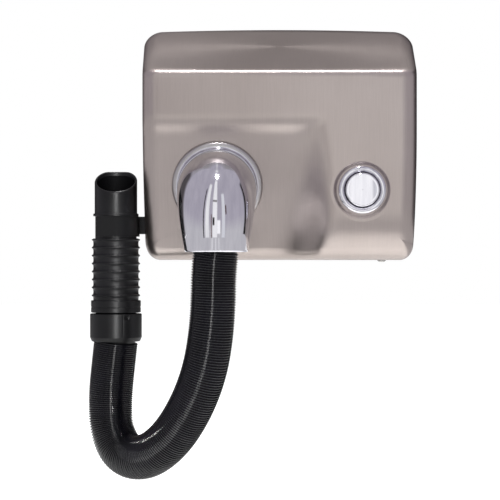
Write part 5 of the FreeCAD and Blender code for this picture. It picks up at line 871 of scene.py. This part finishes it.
def cover_rows(inset, side_rows, roll_rows, front_rows):
    """Rings from the wall to the pole in the front. A side goes straight out, drawn in by its draft; a
    roll of radius r then drops the front by r - sqrt(r ** 2 - (r - n) ** 2) at n from the side; and
    the last rings shrink evenly onto the pole. An inset moves all of it in by that thickness."""
    x0, z0, across, upright = cover_outline()
    inwards = np.stack([across, upright], axis=-1)
    side = across ** 2
    above, below = np.maximum(-upright, 0) ** 2, np.maximum(upright, 0) ** 2
    roll = np.maximum(SIDE_ROLL * side + TOP_ROLL * above + BOTTOM_ROLL * below - inset, 2.0)
    draft = DRAFT * (1 - below)
    start = np.stack([x0, z0], axis=-1) + inwards * inset
    flat = np.zeros(len(x0))

    def place(depth, inward):
        spot = start + inwards * (depth * draft + side * narrowing(depth, z0) + inward)[:, None]
        return spot[:, 0], spot[:, 1]

    def inset_front(x, z):
        step = 0.05
        slope_x = (front_depth(x + step, z) - front_depth(x - step, z)) / (2 * step)
        slope_z = (front_depth(x, z + step) - front_depth(x, z - step)) / (2 * step)
        return front_depth(x, z) - inset * np.sqrt(1 + slope_x ** 2 + slope_z ** 2)

    def rolled(inward):
        depth = flat + 100.0
        drop = roll - np.sqrt(np.maximum(roll ** 2 - (roll - inward) ** 2, 0))
        for _ in range(6):
            x, z = place(depth, inward)
            depth = np.maximum(inset_front(x, z) - drop, 3.0)
        return x, z, depth

    edge = rolled(flat)[2]
    rows = [(*place(edge * share, flat), edge * share)
            for share in np.linspace(0, 1, side_rows, endpoint=False)]
    rows += [rolled(roll * (1 - math.cos(turn))) for turn in np.linspace(0, math.pi / 2, roll_rows)]
    x, z, _ = rows[-1]
    for share in np.linspace(1, 0, front_rows + 1)[1:]:
        share = max(share, 0.002)
        spot_x, spot_z = POLE_X + (x - POLE_X) * share, POLE_Z + (z - POLE_Z) * share
        rows.append((spot_x, spot_z, inset_front(spot_x, spot_z)))
    return np.stack([np.stack([x, -depth, z], axis=-1) for x, z, depth in rows])


def cut_through(made, cutters):
    """Cuts closed tools out of a piece and keeps the result as its mesh. The solver is the one that
    needs little memory, and its cuts only come out whole without a threshold."""
    group = bpy.data.collections.new("cutters")
    for cutter in cutters:
        group.objects.link(cutter)
    cut = made.modifiers.new("cut", "BOOLEAN")
    cut.operation = "DIFFERENCE"
    cut.solver = "FAST"
    cut.double_threshold = 0.0
    cut.operand_type = "COLLECTION"
    cut.collection = group
    shape = bpy.data.meshes.new_from_object(made.evaluated_get(bpy.context.evaluated_depsgraph_get()))
    made.modifiers.clear()
    old, made.data = made.data, shape
    bpy.data.collections.remove(group)
    for cutter in cutters:
        mesh = cutter.data
        bpy.data.objects.remove(cutter)
        bpy.data.meshes.remove(mesh)
    bpy.data.meshes.remove(old)


def drill(middle, axis, radius, length, sides=96):
    """A cylinder to cut with, half its length to each side of its middle."""
    ends = np.array([(radius, -length / 2), (radius, length / 2)]) * MM
    return lathe("tool", ends, np.array(middle) * MM, axis, sides, loop=False)


def slot_tool(low, high):
    """A box between two corners."""
    (x0, y0, z0), (x1, y1, z1) = low, high
    floor = [(x0, y0), (x1, y0), (x1, y1), (x0, y1)]
    faces = [(0, 3, 2, 1), (4, 5, 6, 7), (0, 1, 5, 4), (1, 2, 6, 5), (2, 3, 7, 6), (3, 0, 4, 7)]
    return new_surface("tool", [Vector((x, y, z)) * MM for z in (z0, z1) for x, y in floor], faces)


class DRYER_OT_cover(bpy.types.Operator):
    """Makes the pressed cover, its screws, the clip on its side and the base plate"""
    bl_idname = "dryer.cover"
    bl_label = "Cover and base"

    def execute(self, context):
        self.pressing()
        self.dish()
        for node, slot in (("base_plate", "cast_plate"), ("cable_grommet", "rubber"),
                           ("cover_lock_screws", "screw_steel"), ("clip_screws", "screw_steel")):
            place_piece(smooth_copy(node), "housing", slot, node)
        self.spring()
        self.clip()
        return {"FINISHED"}

    def pressing(self):
        """The sheet between an outside and an inside, with its openings cut through."""
        outside = cover_rows(0.0, *OUTSIDE_ROWS)
        inside = cover_rows(SHEET, *INSIDE_ROWS)
        made = skin("cover_form", np.concatenate([inside[::-1], outside]) * MM, False)
        tools = [drill(OUTLET, OUT, OUTLET_HOLE, 16.0),
                 drill((BUTTON_X, -FRONT, BUTTON_Z), TOWARDS_ROOM, DISH_EDGE, 16.0)]
        for k in range(SLOTS):
            left = FIRST_SLOT + SLOT_PITCH * k - SLOT_WIDTH / 2
            tools.append(slot_tool((left, -SLOT_DEPTHS[1], -HALF_HEIGHT - 2),
                                   (left + SLOT_WIDTH, -SLOT_DEPTHS[0], -HALF_HEIGHT + 4)))
        for x in LOCK_SCREWS_X:
            tools.append(drill((x, -LOCK_SCREWS_DEPTH, 1 - HALF_HEIGHT), UP, LOCK_HOLE, 6.0, 32))
        for depth in CLIP_SCREWS_DEPTHS:
            tools.append(drill((3 - HALF_WIDTH, -depth, CLIP_SCREWS_Z), TOWARDS_RIGHT, CLIP_HOLE, 10.0, 32))
        cut_through(made, tools)
        made.data.shade_smooth()
        made.data.set_sharp_from_angle(angle=math.radians(40))
        place_piece(made, "housing", "brushed_cover", "cover")

    def dish(self):
        """The pressed ring round the button, flush with the front. Its depth is DISH_DEPTH times a
        smooth step t * t * (3 - 2 t)."""
        across = np.linspace(DISH_EDGE, 24.2, 40)
        share = np.clip((28.3 - across) / 3.9, 0, 1)
        front = FRONT - DISH_DEPTH * share ** 2 * (3 - 2 * share)
        outline = joined([(across, front), (DISH_BORE, (front[-1], front[-1] - SHEET)),
                          (across[::-1], front[::-1] - SHEET)]).T * MM
        made = lathe("button_dish_form", outline, BUTTON_MIDDLE, TOWARDS_ROOM, 192)
        made.data.set_sharp_from_angle(angle=math.radians(40))
        place_piece(made, "housing", "brushed_cover", "cover")

    def spring(self):
        """The button's spring, with a mesh of its own. The button's travel would make it shorter; that isn't
        done here.
        """
        spring = place_piece(smooth_copy("button_spring"), "housing", "spring_steel", "button_spring")
        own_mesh(spring)

    def clip(self):
        """The clip. The foot of its arm follows the narrowing of the cover's side."""
        clip = smooth_copy("handle_clip")
        spots = points_of(clip.data) / MM
        foot = np.clip((spots[:, 0] + HALF_WIDTH) / 2, 0, 1)
        spots[:, 0] += foot * narrowing(-spots[:, 1], spots[:, 2])
        clip.data.vertices.foreach_set("co", (spots * MM).ravel())
        place_piece(clip, "housing", "black_plastic", "handle_clip")


# The hand nozzle, in its own frame round the handle's axis. An outline's points are a radius, a
# height and the radius of the corner.

SPIGOT, SPIGOT_BORE, SPIGOT_FOOT = 19.6, 17.4, -120.5
NECK, NECK_FOOT = 20.6, -98.6
COLLAR, COLLAR_FOOT, COLLAR_TOP = 22.6, -76.3, -73.7
BARREL, BARREL_BORE, BARREL_FOOT, SLANT_START = 21.2, 18.9, -95.5, -68.0
MOUTH_LIP, MOUTH_TOP = -53.0, -31.0
HALF_WALL = (BARREL - BARREL_BORE) / 2

GRIP, GRIP_BORE, GRIP_END, GRIP_FOOT = 22.8, 17.5, -160.3, -189.3
RING_PITCH, FIRST_RING, LAST_RING, RING_RISE = 7.95, -99.7, -157.0, 1.2
GRIP_COLLAR, GRIP_NECK = 24.8, 20.0

CUFF, CUFF_BORE, CUFF_SIDES = 25.8, 17.0, 360
NOTCH_ANGLE, NOTCH_DEPTH = math.radians(299.0), 1.2
LINE_ANGLE, LINE_DEPTH = math.radians(290.4), 0.25


def slanted_rim(radius, angle):
    """Height of the mouth at each angle: a plane that slants by 30 degrees and a level one that cuts
    it off, joined by a smooth minimum, (a + b - sqrt((a - b) ** 2 + blend ** 2)) / 2."""
    slanted = MOUTH_LIP + (radius * np.sin(angle) + BARREL) * math.tan(math.radians(30.0))
    blend = 0.8
    return (slanted + MOUTH_TOP - np.sqrt((slanted - MOUTH_TOP) ** 2 + blend ** 2)) / 2


class DRYER_OT_nozzle(bpy.types.Operator):
    """Makes the nozzle with its slanted mouth, the ringed grip and the hose cuff"""
    bl_idname = "dryer.nozzle"
    bl_label = "Hand nozzle"

    def execute(self, context):
        self.barrel()
        self.grip()
        self.cuff()
        return {"FINISHED"}

    def barrel(self):
        """An outline turned round the axis, whose part over the slant's start is stretched up to the
        mouth: height = start * (1 - climb) + mouth * climb, with a half round rim on top."""
        low = rounded([(SPIGOT_BORE, SPIGOT_FOOT, 0.3), (SPIGOT, SPIGOT_FOOT, 0.3), (SPIGOT, NECK_FOOT, 0),
                       (NECK, NECK_FOOT, 0.2), (NECK, COLLAR_FOOT, 0.2), (COLLAR, COLLAR_FOOT, 0.3),
                       (COLLAR, COLLAR_TOP, 0.6), (BARREL, COLLAR_TOP, 0.5), (BARREL, SLANT_START, 0),
                       (BARREL_BORE, SLANT_START, 0), (BARREL_BORE, BARREL_FOOT, 0.5),
                       (SPIGOT_BORE, BARREL_FOOT - 2, 0.5)], 5) / MM
        outer = int(np.argmax(low[:, 1] == SLANT_START)) + 1
        climbing = np.linspace(0, 1, 14)[1:-1]
        turn = np.linspace(0, math.pi, 11)
        # Each run's radius, height without the stretch, climb and rise of the rim
        radius, fixed, climb, rise = joined([
            (low[:outer, 0], low[:outer, 1], 0, 0),
            (BARREL, SLANT_START, climbing, 0),
            (BARREL - HALF_WALL + HALF_WALL * np.cos(turn), 0, 1, HALF_WALL * np.sin(turn) - HALF_WALL),
            (BARREL_BORE, SLANT_START, climbing[::-1], 0),
            (low[outer:, 0], low[outer:, 1], 0, 0)])[:, :, None]
        angle = full_turn(144)
        mouth = slanted_rim(radius, angle[None]) - HALF_WALL * (climb < 1) + rise
        height = fixed * (1 - climb) + mouth * climb
        grid = np.stack([radius * np.cos(angle), radius * np.sin(angle), height], axis=-1) + HANDLE
        made = skin("nozzle_form", grid * MM)
        place_piece(made, "handle", "black_plastic", "nozzle")
        # The bore gets painted shade: a darker, duller finish than the outside.
        made.data.materials.append(finish("nozzle_bore_painted_shade"))
        bore_start = outer + len(climbing) + len(turn)
        rows = np.arange(len(made.data.polygons)) // len(angle)
        made.data.polygons.foreach_set("material_index", (rows >= bore_start).astype(np.int32))

    def grip(self):
        """The outside is GRIP - 0.3 * sin(pi * d / RING_PITCH) ** 2 + RING_RISE / (1 + (d / 0.95) ** 6),
        where d is the distance to the nearest ring."""
        height = np.arange(-99.1, -160.0, -0.18)
        nearest = (height - FIRST_RING + RING_PITCH / 2) % RING_PITCH - RING_PITCH / 2
        ringed = np.where(height > LAST_RING, RING_RISE / (1 + (nearest / 0.95) ** 6), 0.0)
        hollow = 0.3 * np.sin(np.pi * nearest / RING_PITCH) ** 2
        outside = np.stack([GRIP - hollow + ringed, height], axis=-1) * MM
        top = rounded([(SPIGOT, -121.0, 0), (SPIGOT, -98.5, 0.2), (GRIP, -98.5, 0.6), (GRIP, -99.2, 0)], 4)
        foot = rounded([(GRIP, GRIP_END, 0), (GRIP_COLLAR, GRIP_END, 0.7), (GRIP_COLLAR, -166.5, 0.1),
                        (24.45, -166.8, 0.1), (24.45, -167.3, 0.1), (GRIP_COLLAR, -167.6, 0.1),
                        (GRIP_COLLAR, -172.3, 0.7), (GRIP_NECK, -172.3, 0), (GRIP_NECK, -183.0, 0),
                        (21.2, -184.2, 0.3), (21.2, -185.4, 0.3), (GRIP_NECK, -186.6, 0),
                        (GRIP_NECK, GRIP_FOOT, 0.4), (GRIP_BORE, GRIP_FOOT, 0.4), (GRIP_BORE, -121.0, 0)], 6)
        outline = np.concatenate([top[:-1], outside, foot])
        place_piece(lathe("grip_form", outline, HANDLE * MM, UP), "handle", "black_plastic", "grip")

    def cuff(self):
        """The dent is a square notch and a parting line, each a product of steps 1 / (1 + exp(-distance
        to the nearer edge / softness)) along and around the cuff."""
        outer = rounded([(20.3, -173.5, 0.4), (CUFF, -173.5, 0.8), (CUFF, -174.6, 0)], 6)
        side = joined([(CUFF, np.linspace(-174.8, -194.0, 60))]).T * MM
        rest = rounded([(CUFF, -194.2, 0), (CUFF, -197.0, 1.5), (24.0, -201.0, 0.6), (18.9, -201.0, 0),
                        (18.9, -215.0, 0.4), (CUFF_BORE, -215.0, 0.4), (CUFF_BORE, -190.0, 0),
                        (20.3, -190.0, 0), (20.3, -187.1, 0), (21.5, -185.9, 0), (21.5, -183.7, 0),
                        (20.3, -182.5, 0)], 6)
        outline = np.concatenate([outer, side, rest])
        around = CUFF * full_turn(CUFF_SIDES)[None, :]
        height = outline[:, 1:] / MM
        outside = outline[:, :1] / MM > CUFF - 0.1

        def between(value, low, high, softness):
            inside = np.minimum(value - low, high - value) / softness
            return 1 / (1 + np.exp(-np.clip(inside, -30, 30)))

        notch = between(around, CUFF * NOTCH_ANGLE - 2.5, CUFF * NOTCH_ANGLE + 2.5, 0.12)
        notch = notch * between(height, -178.3, -175.3, 0.1)
        line = between(around, CUFF * LINE_ANGLE - 0.3, CUFF * LINE_ANGLE + 0.3, 0.1)
        line = line * between(height, -196.0, -174.0, 0.3)
        dent = outside * (NOTCH_DEPTH * notch + LINE_DEPTH * line) * MM
        made = lathe("hose_cuff_form", outline, HANDLE * MM, UP, CUFF_SIDES, dent)
        place_piece(made, "cuff", "black_plastic", "hose_cuff")


class DRYER_OT_inside(bpy.types.Operator):
    """Gives every solid that stays as it is the finish of its material slot"""
    bl_idname = "dryer.inside"
    bl_label = "Finishes of the solids"

    def execute(self, context):
        slots = {part["node"]: part["material_slot"] for part in frame["record"]["subparts"]}
        for name, solid in frame["nodes"].items():
            if not solid.hide_render:
                solid.data.materials.clear()
                solid.data.materials.append(finish(slots[name]))
        return {"FINISHED"}


STEPS = [DRYER_OT_stage, DRYER_OT_nozzle, DRYER_OT_hose, DRYER_OT_elbow, DRYER_OT_cover, DRYER_OT_button,
         DRYER_OT_inside]


class DRYER_PT_panel(bpy.types.Panel):
    """The steps that make the dryer, and its sizes"""
    bl_label = "Pet dryer"
    bl_idname = "DRYER_PT_panel"
    bl_space_type = "VIEW_3D"
    bl_region_type = "UI"
    bl_category = "Dryer"

    def draw(self, context):
        for settings in (context.scene.dryer_sizes, context.scene.dryer_colours):
            for name in settings.__annotations__:
                self.layout.prop(settings, name)
        for step in STEPS:
            self.layout.operator(step.bl_idname)


CLASSES = [DryerSizes, DryerColours] + STEPS + [DRYER_PT_panel]


def register():
    for each in CLASSES:
        bpy.utils.register_class(each)
    bpy.types.Scene.dryer_sizes = PointerProperty(type=DryerSizes)
    bpy.types.Scene.dryer_colours = PointerProperty(type=DryerColours)


def unregister():
    del bpy.types.Scene.dryer_sizes
    del bpy.types.Scene.dryer_colours
    for each in reversed(CLASSES):
        bpy.utils.unregister_class(each)


def main():
    register()
    for step in STEPS:
        group, name = step.bl_idname.split(".")
        getattr(getattr(bpy.ops, group), name)()
    bpy.context.view_layer.update()


if __name__ == "__main__":
    main()
